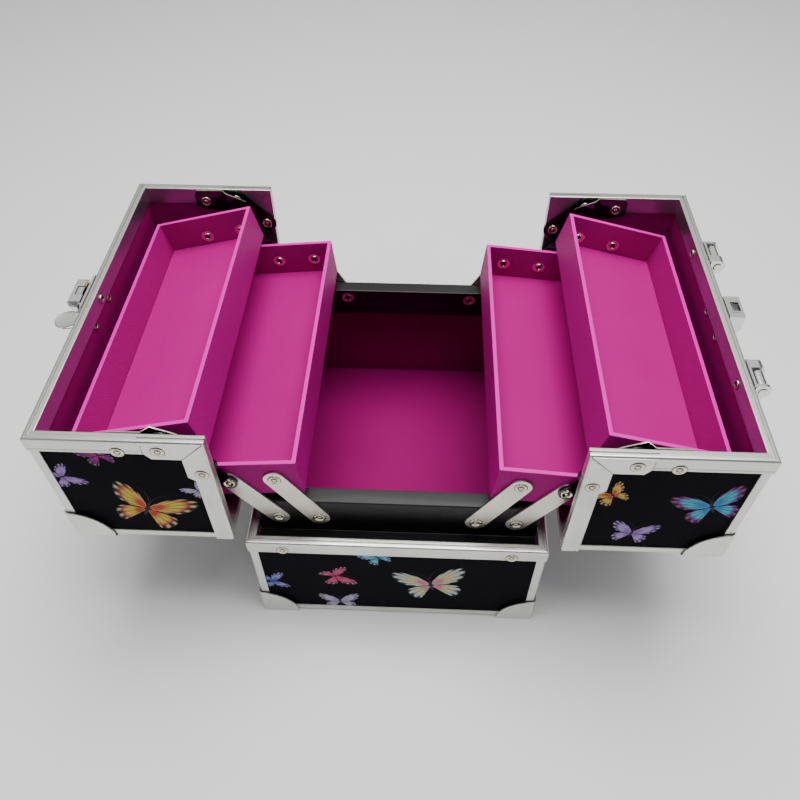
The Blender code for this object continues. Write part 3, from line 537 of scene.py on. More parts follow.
def build_frame(shell):
    """Mitred profiles: a U round the opening and an angle along every other edge."""
    bm = bmesh.new()

    def rim_shift(end_face):
        if end_face in shell.open_faces:
            return lambda d, w: w
        return lambda d, w: d

    def edge_shift(end_face):
        if end_face in shell.open_faces:
            return lambda a, b: RIM_BAND + 0.03
        return lambda a, b: max(a, b)

    closed = shell.closed_faces()
    for n, first in enumerate(closed):
        for rim in shell.open_faces:
            if rim[1] != first[1]:
                member(bm, shell, first, rim, RIM_PROFILE, rim_shift)
        for second in closed[n + 1:]:
            if second[1] != first[1]:
                member(bm, shell, first, second, EDGE_PROFILE, edge_shift)
    if len(shell.open_faces) == 2:
        seam_rims(bm, shell)
    piece(f"{shell.name}_edge_profiles", bm, shell.body,
          ["aluminium_x", "aluminium_y", "aluminium_z", "aluminium_shaded"], [f"{shell.name}_frame"])
    carry_over(f"{shell.name}_casing", "panel_cloth")
    # the lining takes the darker magenta copy, painted shade
    carry_over(f"{shell.name}_lining", "lining_cloth_shaded")


def corner_guard(node, body, corner, inward, covers_bottom):
    """A pressed cap over a corner, with a round edge and one rivet on each wall it covers."""
    width, thick, gap = 26.0, 0.8, 0.3
    covered = [True, True, covers_bottom]

    def shell_mesh(proud, far, rounding):
        """A box that stands proud of the covered faces and has their shared edges rounded."""
        bm = bmesh.new()
        spans = []
        for k in range(3):
            near = proud if covered[k] else 6.0
            spans.append(sorted((corner[k] - inward[k] * near, corner[k] + inward[k] * far)))
        box(bm, [s[0] for s in spans], [s[1] for s in spans])
        edges = []
        for edge in bm.edges:
            sides = [k for k in range(3)
                     if abs(edge.verts[0].co[k] - edge.verts[1].co[k]) < 1e-6]
            if all(covered[k] and abs(edge.verts[0].co[k] - corner[k]) < 5 for k in sides):
                edges.append(edge)
        bmesh.ops.bevel(bm, geom=edges, offset=rounding, segments=5, profile=0.5, affect="EDGES",
                        clamp_overlap=True)
        return bm

    ball = bmesh.new()
    bmesh.ops.create_uvsphere(ball, u_segments=64, v_segments=32, radius=width)
    bmesh.ops.rotate(ball, verts=ball.verts, matrix=Matrix.Rotation(math.radians(1.3), 3, "X"))
    bmesh.ops.translate(ball, verts=ball.verts, vec=corner)
    if not covers_bottom:
        bmesh.ops.bisect_plane(ball, geom=ball.verts[:] + ball.edges[:] + ball.faces[:],
                               plane_co=(0, 0, corner[2]), plane_no=(0, 0, -1), clear_outer=True)
        bmesh.ops.holes_fill(ball, edges=[e for e in ball.edges if e.is_boundary])
    bm = carve(shell_mesh(gap + thick, width + 4, 3.0),
               ("DIFFERENCE", shell_mesh(gap, width + 8, 2.4)), ("INTERSECT", ball))
    bmesh.ops.remove_doubles(bm, verts=bm.verts, dist=0.01)
    bmesh.ops.dissolve_limit(bm, angle_limit=math.radians(1.0), verts=bm.verts, edges=bm.edges)
    for k, letter in enumerate("xyz"):
        if not covered[k]:
            continue
        point = [corner[n] + inward[n] * 12.0 for n in range(3)]
        point[k] = corner[k] - inward[k] * (gap + thick - 0.72)
        head_on(bm, *point, letter, -inward[k], SMALL, 1.05, 1, None)
    piece(f"{node}_cap", bm, body, PLATE_FINISHES, [node])


def gusset_rivets(node):
    """The two rivets of a gusset as (u, z), from its box."""
    low, high = box_mm(node)
    near, far = reach(low, high)
    return ((near + GUSSET_RADIUS, low[2] + GUSSET_RADIUS),
            (far - GUSSET_RADIUS, high[2] - GUSSET_RADIUS))


def free_corner_plates(shell, side, end_name):
    """Two riveted plates, mitred together, on the end wall's free corner."""
    end = ENDS[end_name]
    rim_u = reach(shell.low, shell.high)[0]
    rim_z = shell.high[2]
    wall = shell.high[1]
    arm = [(1.55, 1.05), (37.5, 1.05), (35.8, 3.0), (35.8, 10.5), (32.3, 15.0), (15.25, 15.0)]
    bm = bmesh.new()
    for swapped in (False, True):
        outline = []
        for a, b in arm:
            du, dz = (b, a) if swapped else (a, b)
            outline.append((side * (rim_u + du), rim_z - dz))
        prism(bm, outline, "y", end * (wall - 1.25), end * (wall + 0.45))
    soften(bm, 0.14)
    # a dark outline just larger than the plates, under their edges: painted shadow
    outline = [(1.1, 1.1), (38.1, 1.1), (36.4, 3.2), (36.4, 10.8), (32.6, 15.6), (15.6, 15.6),
               (15.6, 32.6), (10.8, 36.4), (3.2, 36.4), (1.1, 38.1)]
    prism(bm, [(side * (rim_u + a), rim_z - b) for a, b in outline], "y",
          end * (wall - 0.9), end * (wall + 0.06), 2)
    heads = [(*point, 0.45) for point in gusset_rivets(f"{SIDE_OF[side]}_gusset_{end_name}")]
    heads.append((*joint_point(f"{SIDE_OF[side]}_lid_strap_pivot"), 0.0))
    flat = [(r, h * 0.72) for r, h in HEAD]
    for u, z, proud in heads:
        head_on(bm, side * u, end * (wall + proud), z, "y", end, flat, 1.0, 1)
    piece(f"{shell.name}_corner_plates_{end_name}", bm, shell.body, PLATE_FINISHES)


# ---------------------------------------------------------------- printed butterflies

FORE_WING = [(0.02, 0.03), (0.10, 0.19), (0.24, 0.33), (0.41, 0.41), (0.50, 0.37), (0.485, 0.24),
             (0.42, 0.11), (0.31, 0.03), (0.15, -0.005)]
HIND_WING = [(0.02, -0.02), (0.15, -0.02), (0.30, -0.035), (0.375, -0.12), (0.35, -0.24),
             (0.27, -0.34), (0.19, -0.32), (0.13, -0.22), (0.06, -0.11)]
RING_AT = (0.05, 0.26, 0.46, 0.66, 0.80, 0.91, 1.0)
BLACK = (0.004, 0.004, 0.006)
# near the body, middle, outer, rim spots
PALETTES = {
    "violet": ((0.45, 0.20, 0.75), (0.62, 0.45, 0.90), (0.20, 0.05, 0.42), (0.80, 0.65, 0.95)),
    "sunset": ((0.85, 0.08, 0.06), (0.95, 0.72, 0.10), (0.55, 0.05, 0.10), (0.95, 0.90, 0.35)),
    "magenta": ((0.60, 0.04, 0.30), (0.35, 0.03, 0.28), (0.12, 0.02, 0.16), (0.70, 0.30, 0.55)),
    "pearl": ((0.55, 0.45, 0.75), (0.75, 0.66, 0.90), (0.35, 0.22, 0.55), (0.90, 0.85, 0.98)),
    "ruby": ((0.85, 0.06, 0.20), (0.90, 0.14, 0.32), (0.35, 0.01, 0.09), (0.98, 0.55, 0.65)),
    "spring": ((0.95, 0.30, 0.50), (0.92, 0.85, 0.45), (0.55, 0.70, 0.85), (0.98, 0.95, 0.80)),
    "lagoon": ((0.05, 0.32, 0.75), (0.10, 0.62, 0.85), (0.22, 0.04, 0.35), (0.60, 0.10, 0.35)),
    "sky": ((0.10, 0.50, 0.80), (0.25, 0.75, 0.90), (0.03, 0.15, 0.35), (0.75, 0.92, 0.98)),
    "indigo": ((0.10, 0.14, 0.70), (0.35, 0.42, 0.92), (0.14, 0.03, 0.30), (0.60, 0.60, 0.95)),
}


def smooth_loop(points, steps=5):
    """A closed curve through points."""
    count = len(points)
    made = []
    for n in range(count):
        p = [Vector(points[(n + k) % count]) for k in (-1, 0, 1, 2)]
        for step in range(steps):
            t = step / steps
            made.append(0.5 * (2 * p[1] + (p[2] - p[0]) * t
                               + (2 * p[0] - 5 * p[1] + 4 * p[2] - p[3]) * t * t
                               + (3 * p[1] - p[0] - 3 * p[2] + p[3]) * t ** 3))
    return made


def ink_at(ring, spoke, palette):
    near, middle, outer, spots = palette
    colour = (near, near, middle, middle, outer, BLACK, BLACK)[ring]
    if spoke % 5 == 0 and 1 <= ring <= 4:
        colour = tuple(0.22 * v for v in colour)
    elif ring == 5 and spoke % 5 in (2, 3):
        colour = spots
    return colour


def butterfly(bm, ink, to_face, palette, widths):
    """Four wings, a body and feelers; to_face maps the flat drawing onto a panel."""
    for outline in (FORE_WING, HIND_WING):
        loop = smooth_loop(outline)
        root = Vector(outline[0])
        for mirror in (-1, 1):
            rings = []
            for ring, at in enumerate(RING_AT):
                verts = []
                for spoke, point in enumerate(loop):
                    flat = root.lerp(point, at)
                    vert = bm.verts.new(to_face(mirror * flat.x * widths[mirror > 0], flat.y))
                    vert[ink] = (*ink_at(ring, spoke, palette), 1.0)
                    verts.append(vert)
                rings.append(verts)
            for inner, outer in zip(rings, rings[1:]):
                bridge(bm, inner, outer)
            bm.faces.new(rings[0])
    dark = (0.03, 0.02, 0.03, 1.0)
    shapes = [[(0.022 * math.cos(a), 0.02 + 0.17 * math.sin(a))
               for a in (2 * math.pi * n / 16 for n in range(16))]]
    for mirror in (-1, 1):
        feeler = [(mirror * (0.01 + 0.16 * t * t), 0.17 + 0.22 * t) for t in (0, 0.33, 0.66, 1.0)]
        shapes.append(feeler + [(a + mirror * 0.012, b) for a, b in reversed(feeler)])
    for shape in shapes:
        verts = [bm.verts.new(to_face(a, b)) for a, b in shape]
        for vert in verts:
            vert[ink] = dark
        bm.faces.new(verts)


def print_panel(shell, face, designs):
    """Butterflies in the cloth of one panel, cut off where the edge profiles cover it."""
    k, _, step = shell.plane(face)
    i, j = [n for n in range(3) if n != k]
    casing_low, casing_high = box_mm(f"{shell.name}_casing")
    cloth_at = casing_low[k] if step > 0 else casing_high[k]
    bm = bmesh.new()
    ink = bm.verts.layers.float_color.new("ink")
    for order, (a, b, span, turn, widths, palette) in enumerate(designs):
        angle = math.radians(turn)
        level = cloth_at - step * (0.05 + 0.012 * order)

        def to_face(x, y, a=a, b=b, span=span, angle=angle, level=level):
            point = [0.0] * 3
            point[i] = a + span * (x * math.cos(angle) - y * math.sin(angle))
            point[j] = b + span * (x * math.sin(angle) + y * math.cos(angle))
            point[k] = level
            return point

        butterfly(bm, ink, to_face, PALETTES[palette], widths)
    for n in (i, j):
        for sign in (-1, 1):
            letter = ("-" if sign < 0 else "+") + "xyz"[n]
            band = RIM_BAND if letter in shell.open_faces else EDGE_BAND
            edge = shell.low[n] + band + 0.1 if sign < 0 else shell.high[n] - band - 0.1
            centre, normal = [0.0] * 3, [0.0] * 3
            centre[n], normal[n] = edge, sign
            bmesh.ops.bisect_plane(bm, geom=bm.verts[:] + bm.edges[:] + bm.faces[:],
                                   plane_co=centre, plane_no=normal, clear_outer=True)
    label = ("plus" if face[0] == "+" else "minus") + "_" + face[1]
    made = piece(f"{shell.name}_print_{label}", bm, shell.body, ["print_ink"])
    thick = made.modifiers.new("ink_thickness", "SOLIDIFY")
    thick.thickness = 0.05 * MM
    thick.offset = -1.0


def scattered(shell, face, seed):
    """Designs for a panel that the eye seldom meets, spread without overlap."""
    k = "xyz".index(face[1])
    i, j = [n for n in range(3) if n != k]
    dice = random.Random(seed)
    names = sorted(PALETTES)
    designs = []
    for _ in range(60):
        span = dice.uniform(24, 46)
        a = dice.uniform(shell.low[i] + 14, shell.high[i] - 14)
        b = dice.uniform(shell.low[j] + 14, shell.high[j] - 14)
        if all(math.dist((a, b), d[:2]) > 0.62 * (span + d[2]) for d in designs):
            designs.append((a, b, span, dice.uniform(-60, 60),
                            (dice.uniform(0.6, 1.0), dice.uniform(0.8, 1.0)), dice.choice(names)))
    return designs


# per front panel: (x, z, span, turn, widths of the two sides, palette)
FRONT_DESIGNS = {
    "left_lid": [
        (-198.5, 164.0, 27, -62, (0.8, 0.9), "violet"), (-155.5, 132.0, 56, -24, (0.85, 1.0), "sunset"),
        (-170.0, 186.5, 25, 20, (1.0, 0.8), "magenta"), (-119.0, 154.0, 20, 40, (0.9, 0.9), "pearl")],
    "base": [
        (-43.5, 52.0, 30, -72, (0.75, 1.0), "ruby"), (24.0, 43.5, 54, 12, (0.9, 1.0), "spring"),
        (-12.5, 80.0, 24, 30, (1.0, 0.8), "sky"), (-88.5, 41.5, 26, -80, (0.9, 0.8), "indigo"),
        (-42.0, 13.5, 30, 4, (1.0, 1.0), "pearl")],
    "right_lid": [
        (126.5, 163.5, 27, 36, (1.0, 0.75), "sunset"), (146.5, 122.5, 30, -8, (1.0, 1.0), "violet"),
        (186.5, 154.5, 44, 22, (1.0, 0.9), "lagoon")],
}


# ---------------------------------------------------------------- trays

TRAY_WALL = 2.8
TRAYS = {
    "lower": dict(joint="lower_tray_pivot", width=83.0, height=30.6, low_u=-44.6, rim=14.7, end=108.7,
                  tilt=5.6),
    "upper": dict(joint="upper_tray_pivot", width=78.0, height=27.7, low_u=-13.8, rim=17.0, end=105.6,
                  tilt=14.0),
}


def build_tray(side, level):
    """A cloth-covered tray: four walls, a floor card lighter than the walls as painted light, and a lighter
    band on the rim as a painted highlight.
    """
    name, sizes = SIDE_OF[side], TRAYS[level]
    u0, u1, end, rim = sizes["low_u"], sizes["low_u"] + sizes["width"], sizes["end"], sizes["rim"]
    floor = rim - sizes["height"]
    bm = bmesh.new()

    def loop(inset, z):
        return [bm.verts.new((side * u, y, z))
                for u, y in ((u0 + inset, -end + inset), (u1 - inset, -end + inset),
                             (u1 - inset, end - inset), (u0 + inset, end - inset))]

    rings = [loop(0, floor), loop(0, rim), loop(TRAY_WALL, rim), loop(TRAY_WALL, floor + TRAY_WALL)]
    bm.faces.new(rings[0])
    bm.faces.new(rings[3])
    for at, (ring, following) in enumerate(zip(rings, rings[1:])):
        for face in bridge(bm, ring, following):
            face.material_index = 1 if at == 1 else 0
    bmesh.ops.recalc_face_normals(bm, faces=bm.faces)
    soften(bm, 0.35)
    # rim-top faces take the lighter rim cloth, a painted highlight
    for face in bm.faces:
        if min(vert.co.z for vert in face.verts) > rim - 0.5:
            face.material_index = 1
    # the floor card takes the lighter floor cloth, painted light
    card_in, card_z = TRAY_WALL + 0.5, floor + TRAY_WALL
    xs = sorted((side * (u0 + card_in), side * (u1 - card_in)))
    add_rounded(bm, 0.4, box, (xs[0], -end + card_in, card_z - 0.5), (xs[1], end - card_in, card_z + 0.8), 2)
    pivot = joint_point(f"{name}_{sizes['joint']}")
    turn = Matrix.Rotation(math.radians(side * sizes["tilt"]), 4, "Y")
    bm.transform(Matrix.Translation((side * pivot[0], 0, pivot[1])) @ turn)
    piece(f"{name}_{level}_tray_box", bm, f"{name}_{level}_tray",
          ["tray_cloth", "tray_edge_lit", "tray_floor_cloth_lit"], [f"{name}_{level}_tray"])


# ---------------------------------------------------------------- links

ARM_OUT = box_mm("left_outer_arm_back")[1][1] - 0.8
STRAP_OUT = box_mm("left_outer_strap_back")[1][1] - 0.8
GUSSET_OUT = box_mm("left_gusset_back")[1][1]
LID_STRAP_OUT = GUSSET_OUT - 4.2
PLATE = 1.2
ARM_WIDTH = 14.0
ARM_FINISHES = ["arm_steel"] + RIVETED
DARK_FINISHES = ["black_nickel"] + RIVETED
GUSSET_RADIUS = 7.5
BAR_WALL_IN = 107.5
LOWER_WALL_IN = TRAYS["lower"]["end"] - TRAY_WALL
UPPER_WALL_IN = TRAYS["upper"]["end"] - TRAY_WALL


def outer_corner(node, radius):
    """The far round end of a slanting link, from its box, as (u, z)."""
    low, high = box_mm(node)
    return reach(low, high)[1] - radius, high[2] - radius


def plate_mesh(side, end, outline, face_y, edge_index=None):
    """A flat link or gusset with rounded edges, whose edges may have a finish of their own."""
    bm = bmesh.new()
    prism(bm, [(side * u, z) for u, z in outline], "y", end * face_y, end * (face_y - PLATE))
    soften(bm, 0.28)
    if edge_index is not None:
        for face in bm.faces:
            face.normal_update()
            if abs(face.normal.y) < 0.5:
                face.material_index = edge_index
    return bm


def build_links(side, end_name):
    end, name = ENDS[end_name], SIDE_OF[side]
    lower = joint_point(f"{name}_lower_tray_pivot")
    upper = joint_point(f"{name}_upper_tray_pivot")

    def link(label, outline, face_y, materials, rivets, edge_index=None):
        bm = plate_mesh(side, end, outline, face_y, edge_index)
        for point, wall_in in rivets:
            pinned(bm, side, end, point, face_y, wall_in)
        node = f"{name}_{label}_{end_name}"
        piece(f"{node}_plate", bm, f"{name}_{label}", materials, [node])

    foot = joint_point(f"{name}_inner_arm_foot")
    head = outer_corner(f"{name}_inner_arm_{end_name}", 7.8)
    link("inner_arm", capsule(foot, head, ARM_WIDTH), ARM_OUT, ARM_FINISHES,
         [(foot, BAR_WALL_IN), (head, LOWER_WALL_IN)])
    foot = joint_point(f"{name}_outer_arm_foot")
    link("outer_arm", capsule(foot, lower, ARM_WIDTH), ARM_OUT, ARM_FINISHES,
         [(foot, BAR_WALL_IN)])
    link("inner_strap", capsule(lower, upper, 11.0), STRAP_OUT, DARK_FINISHES,
         [(lower, LOWER_WALL_IN)], 2)
    foot = joint_point(f"{name}_outer_strap_foot")
    head = outer_corner(f"{name}_outer_strap_{end_name}", 5.5)
    link("outer_strap", capsule(foot, head, 11.0), STRAP_OUT, DARK_FINISHES,
         [(foot, LOWER_WALL_IN), (head, UPPER_WALL_IN)], 2)
    build_lid_strap(side, end_name, upper)
    build_gusset(side, end_name)


# (distance out, step in from the gusset's face, lower and upper edge heights)
LID_STRAP_STATIONS = [
    (165.0, 0.0, 188.0, 198.0), (163.0, 0.0, 186.5, 201.3), (149.0, 0.0, 184.0, 201.6),
    (143.5, 0.0, 184.5, 201.7), (139.5, 4.2, 183.0, 201.7), (133.0, 4.2, 176.5, 198.8),
    (129.6, 4.2, 172.0, 197.3), (126.0, 4.2, 173.3, 195.6), (124.6, 4.2, 176.0, 194.8)]


def build_lid_strap(side, end_name, tip):
    """A plate on the lid's end wall that steps in towards the upper tray."""
    end, name = ENDS[end_name], SIDE_OF[side]
    u, z = joint_point(f"{name}_lid_strap_pivot")
    bm = bmesh.new()
    rings = []
    for out, depth, low, high in LID_STRAP_STATIONS:
        rings.append([bm.verts.new((side * out, end * (GUSSET_OUT - depth - inward), level))
                      for level, inward in ((low, 0.0), (high, 0.0), (high, PLATE), (low, PLATE))])
    for ring, following in zip(rings, rings[1:]):
        for n, face in enumerate(bridge(bm, ring, following)):
            face.material_index = 1 if n in (1, 3) else 0
    bm.faces.new(rings[0]).material_index = 1
    bm.faces.new(rings[-1]).material_index = 1
    bmesh.ops.recalc_face_normals(bm, faces=bm.faces)
    soften(bm, 0.18, 2, 60.0)
    head_on(bm, side * tip[0], end * LID_STRAP_OUT, tip[1], "y", end, HEAD, 1.0, 1)
    head_on(bm, side * u, end * (GUSSET_OUT - PLATE), z, "y", -end, HEAD, 1.0, 1)
    node = f"{name}_lid_strap_{end_name}"
    piece(f"{node}_plate", bm, f"{name}_lid_strap", DARK_FINISHES, [node])

    # the pin stays in the tray's wall, because this pivot is the opened one
    tail_at = UPPER_WALL_IN - 0.3 - (LID_STRAP_OUT - PLATE)
    pin = [(0, -0.2), (PIN_RADIUS, -0.2), (PIN_RADIUS, tail_at)] + [(r, tail_at - h) for r, h in TAIL]
    bm = bmesh.new()
    # the tail's hollow takes the darker finish as painted shade
    lathe(bm, (side * tip[0], end * (LID_STRAP_OUT - PLATE), tip[1]), "y", end, pin, bowl=(0.0, 1.75))
    piece(f"{name}_upper_tray_pin_{end_name}", bm, f"{name}_upper_tray", RIVETED)


def build_gusset(side, end_name):
    end, name = ENDS[end_name], SIDE_OF[side]
    node = f"{name}_gusset_{end_name}"
    rivets = gusset_rivets(node)
    bm = plate_mesh(side, end, capsule(*rivets, 2 * GUSSET_RADIUS), GUSSET_OUT, 2)
    for u, z in rivets:
        head_on(bm, side * u, end * (GUSSET_OUT - PLATE), z, "y", -end, HEAD, 1.0, 1)
    piece(f"{node}_plate", bm, f"{name}_lid", DARK_FINISHES, [node])


# ---------------------------------------------------------------- base fittings

def build_bar(end_name):
    """A folded black bar: a flange towards the middle, a web, and a shelf with a raised bead."""
    end = ENDS[end_name]
    half = box_mm(f"base_bar_{end_name}")[1][0]
    outline = [
        (118.2, 88.0), (118.2, 89.3), (117.6, 90.0), (116.9, 90.4), (116.0, 90.4), (115.3, 90.0),
        (114.8, 89.3), (109.4, 89.2), (108.9, 89.5), (108.7, 90.0), (108.7, 121.1), (108.4, 122.0),
        (107.7, 122.5), (98.1, 122.5), (97.5, 122.1), (97.5, 121.1), (97.9, 121.0), (98.3, 121.3),
        (107.0, 121.3), (107.4, 120.9), (107.5, 120.5), (107.5, 89.0), (107.9, 88.2), (108.6, 88.0)]
    bm = bmesh.new()
    prism(bm, [(end * y, z) for y, z in outline], "x", -half, half)
    # the top flange takes the lighter black, a painted reflection
    for face in bm.faces:
        if min(vert.co.z for vert in face.verts) > 121.9:
            face.material_index = 1
    grooves = bmesh.new()
    for y in (111.2, 113.0):
        box(grooves, (-half + 1.0, min(end * y, end * (y + 0.5)), 89.1),
            (half - 1.0, max(end * y, end * (y + 0.5)), 89.42))
    soften(grooves, 0.1)
    merge(bm, grooves)
    piece(f"base_bar_{end_name}_fold", bm, "base", ["black_enamel", "lit_top_enamel"],
          [f"base_bar_{end_name}"])


BAND_RIVET_X = 76.0


def build_base_fittings():
    """Rivets in the base's band, and a card on its floor in a darker magenta that is painted shade."""
    high = box_mm("base_frame")[1]
    bm = bmesh.new()
    flat = [(r, h * 0.85) for r, h in HEAD]
    for end in (-1, 1):
        for x in (-BAND_RIVET_X, BAND_RIVET_X):
            head_on(bm, x, end * high[1], high[2] - 8.2, "y", end, flat, 0.95)
    piece("base_band_rivets", bm, "base", RIVETED)

    low, high = box_mm("base_lining")
    bm = bmesh.new()
    inset = 1.4
    box(bm, (low[0] + inset, low[1] + inset, low[2] + 0.4),
        (high[0] - inset, high[1] - inset, low[2] + 1.5))
    soften(bm, 0.5)
    piece("base_floor_card", bm, "base", ["base_floor_cloth_shaded"])


HINGE_RIVETS, HINGE_LID_U = 6, 115.5


def build_hinge(side):
    """The CAD's leaves and pin with their finish, and a row of small rivets in each leaf."""
    name = SIDE_OF[side]
    for label in ("hinge_base_leaf", "hinge_pin", "hinge_lid_leaf"):
        carry_over(f"{name}_{label}", "arm_steel")
    face_u = box_mm("base_frame")[1][0] + 1.5
    under_lid = box_mm(f"{name}_lid_frame")[0][2] - 1.5
    for label, body in (("base", "base"), ("lid", f"{name}_lid")):
        low, high = box_mm(f"{name}_hinge_{label}_leaf")
        bm = bmesh.new()
        for n in range(HINGE_RIVETS):
            y = low[1] + (n + 0.5) * (high[1] - low[1]) / HINGE_RIVETS
            if label == "base":
                head_on(bm, side * face_u, y, low[2] + 6.0, "x", side, SMALL, bowl=None)
            else:
                head_on(bm, side * HINGE_LID_U, y, under_lid, "z", -1, SMALL, bowl=None)
        piece(f"{name}_hinge_{label}_rivets", bm, body, RIVETED)


def lid_inside_rivets(side, places):
    """Small heads inside the lid's outer wall, behind the lock, strike and handle mounts."""
    name = SIDE_OF[side]
    wall = reach(*box_mm(f"{name}_lid_lining"))[1] - 0.6
    low, high = box_mm(f"{name}_lid_frame")
    leg_u, leg_foot = reach(low, high)[1] - WALL_DEPTH, high[2] - LEG_DEPTH
    bm = bmesh.new()
    for y, z in places:
        at_u = leg_u if z > leg_foot else wall
        head_on(bm, side * at_u, y, z, "x", -side, TUBE, bowl=TAIL_BOWL)
    piece(f"{name}_lid_inside_rivets", bm, f"{name}_lid", RIVETED)


# ---------------------------------------------------------------- lock and handle

# how far the bolt's slot and the strike's opening reach to each side, and the opening in u
SLOT_HALF, STRIKE_HALF, STRIKE_U = 4.1, 4.2, (212.3, 217.7)


def build_lock():
    """The lock on the left lid, its bolt with a thumb disc, and the strike on the right lid."""
    low, high = box_mm("lock_body")
    inner, outer, top, half = high[0], low[0], high[2], high[1]
    face = inner - 2.6
    bm = bmesh.new()
    wedge = [(face, top), (face, low[2]), (face - 0.8, low[2]), (face - 2.2, low[2] + 1.2),
             (outer, top - 5.6), (outer, top - 1.2), (outer + 1.0, top)]
    prism(bm, wedge, "y", -half, half)
    soften(bm, 0.45, 3, 30.0)
    tool = bmesh.new()
    bolt_low, bolt_high = box_mm("lock_bolt")
    box(tool, (-217.6, -SLOT_HALF, top - 8.0), (face + 0.5, SLOT_HALF, top + 1.0))
    box(tool, (-215.5, -half - 1.0, 192.9), (-212.5, -half + 3.0, 200.0))
    bm = carve(bm, ("DIFFERENCE", tool))
    plate = rounded_rectangle(-19.0, top - 23.0, 19.0, top - 0.2, 5.0)
    add_rounded(bm, 0.4, prism, plate, "x", inner, inner - 1.5)
    # a black sheet in the gap between the block and the backing plate: painted shadow
    box(bm, (face, -half + 1.5, low[2] + 2.0), (inner - 1.3, half - 1.5, top - 1.6), 2)
    add_rounded(bm, 0.25, box, (face - 1.7, 4.7, top - 1.5), (face - 0.1, 10.0, top + 0.25), 1)
    piece("lock_case", bm, "left_lid", ["chrome", "brass", "black_enamel"], ["lock_body"])

    bm = bmesh.new()
    box(bm, (-217.0, -3.5, bolt_low[2] + 0.2), (-213.0, 3.5, bolt_high[2]))
    box(bm, (-214.8, -15.0, bolt_low[2] + 0.1), (-213.1, -2.0, bolt_low[2] + 1.7))
    soften(bm, 0.3)
    disc = [(0, 0.35), (5.2, 0.35), (5.8, 0.15), (7.6, 0.15), (8.3, 0.35), (8.5, 0.7), (8.4, 1.15),
            (8.0, 1.4), (7.4, 1.35), (6.4, 1.0), (3.0, 0.8), (0, 0.8)]
    lathe(bm, (-218.5, -21.5, 193.7), "z", 1, disc, 48)
    piece("lock_bolt_and_thumb_disc", bm, "lock_bolt", ["chrome"], ["lock_bolt"])

    low, high = box_mm("strike_box")
    bm = bmesh.new()
    outline = [(low[0], high[2]), (low[0], low[2])]
    outline += arc((high[0] - 7.0, low[2] + 7.0), 7.0, -90, 0, 8)
    outline.append((high[0], high[2]))
    prism(bm, outline, "y", low[1], high[1])
    soften(bm, 0.6, 3)
    tool = bmesh.new()
    box(tool, (STRIKE_U[0], -STRIKE_HALF, high[2] - 9.0), (STRIKE_U[1], STRIKE_HALF, high[2] + 1.0))
    bm = carve(bm, ("DIFFERENCE", tool))
    rim = bmesh.new()
    prism(rim, rounded_rectangle(211.4, -5.4, 218.4, 5.4, 1.6), "z", high[2] - 1.0, high[2] + 0.25)
    hole = bmesh.new()
    box(hole, (STRIKE_U[0], -STRIKE_HALF, high[2] - 3.0), (STRIKE_U[1], STRIKE_HALF, high[2] + 1.0))
    soften(rim, 0.2)
    merge(bm, carve(rim, ("DIFFERENCE", hole)))
    piece("strike_block", bm, "right_lid", ["chrome"], ["strike_box"])


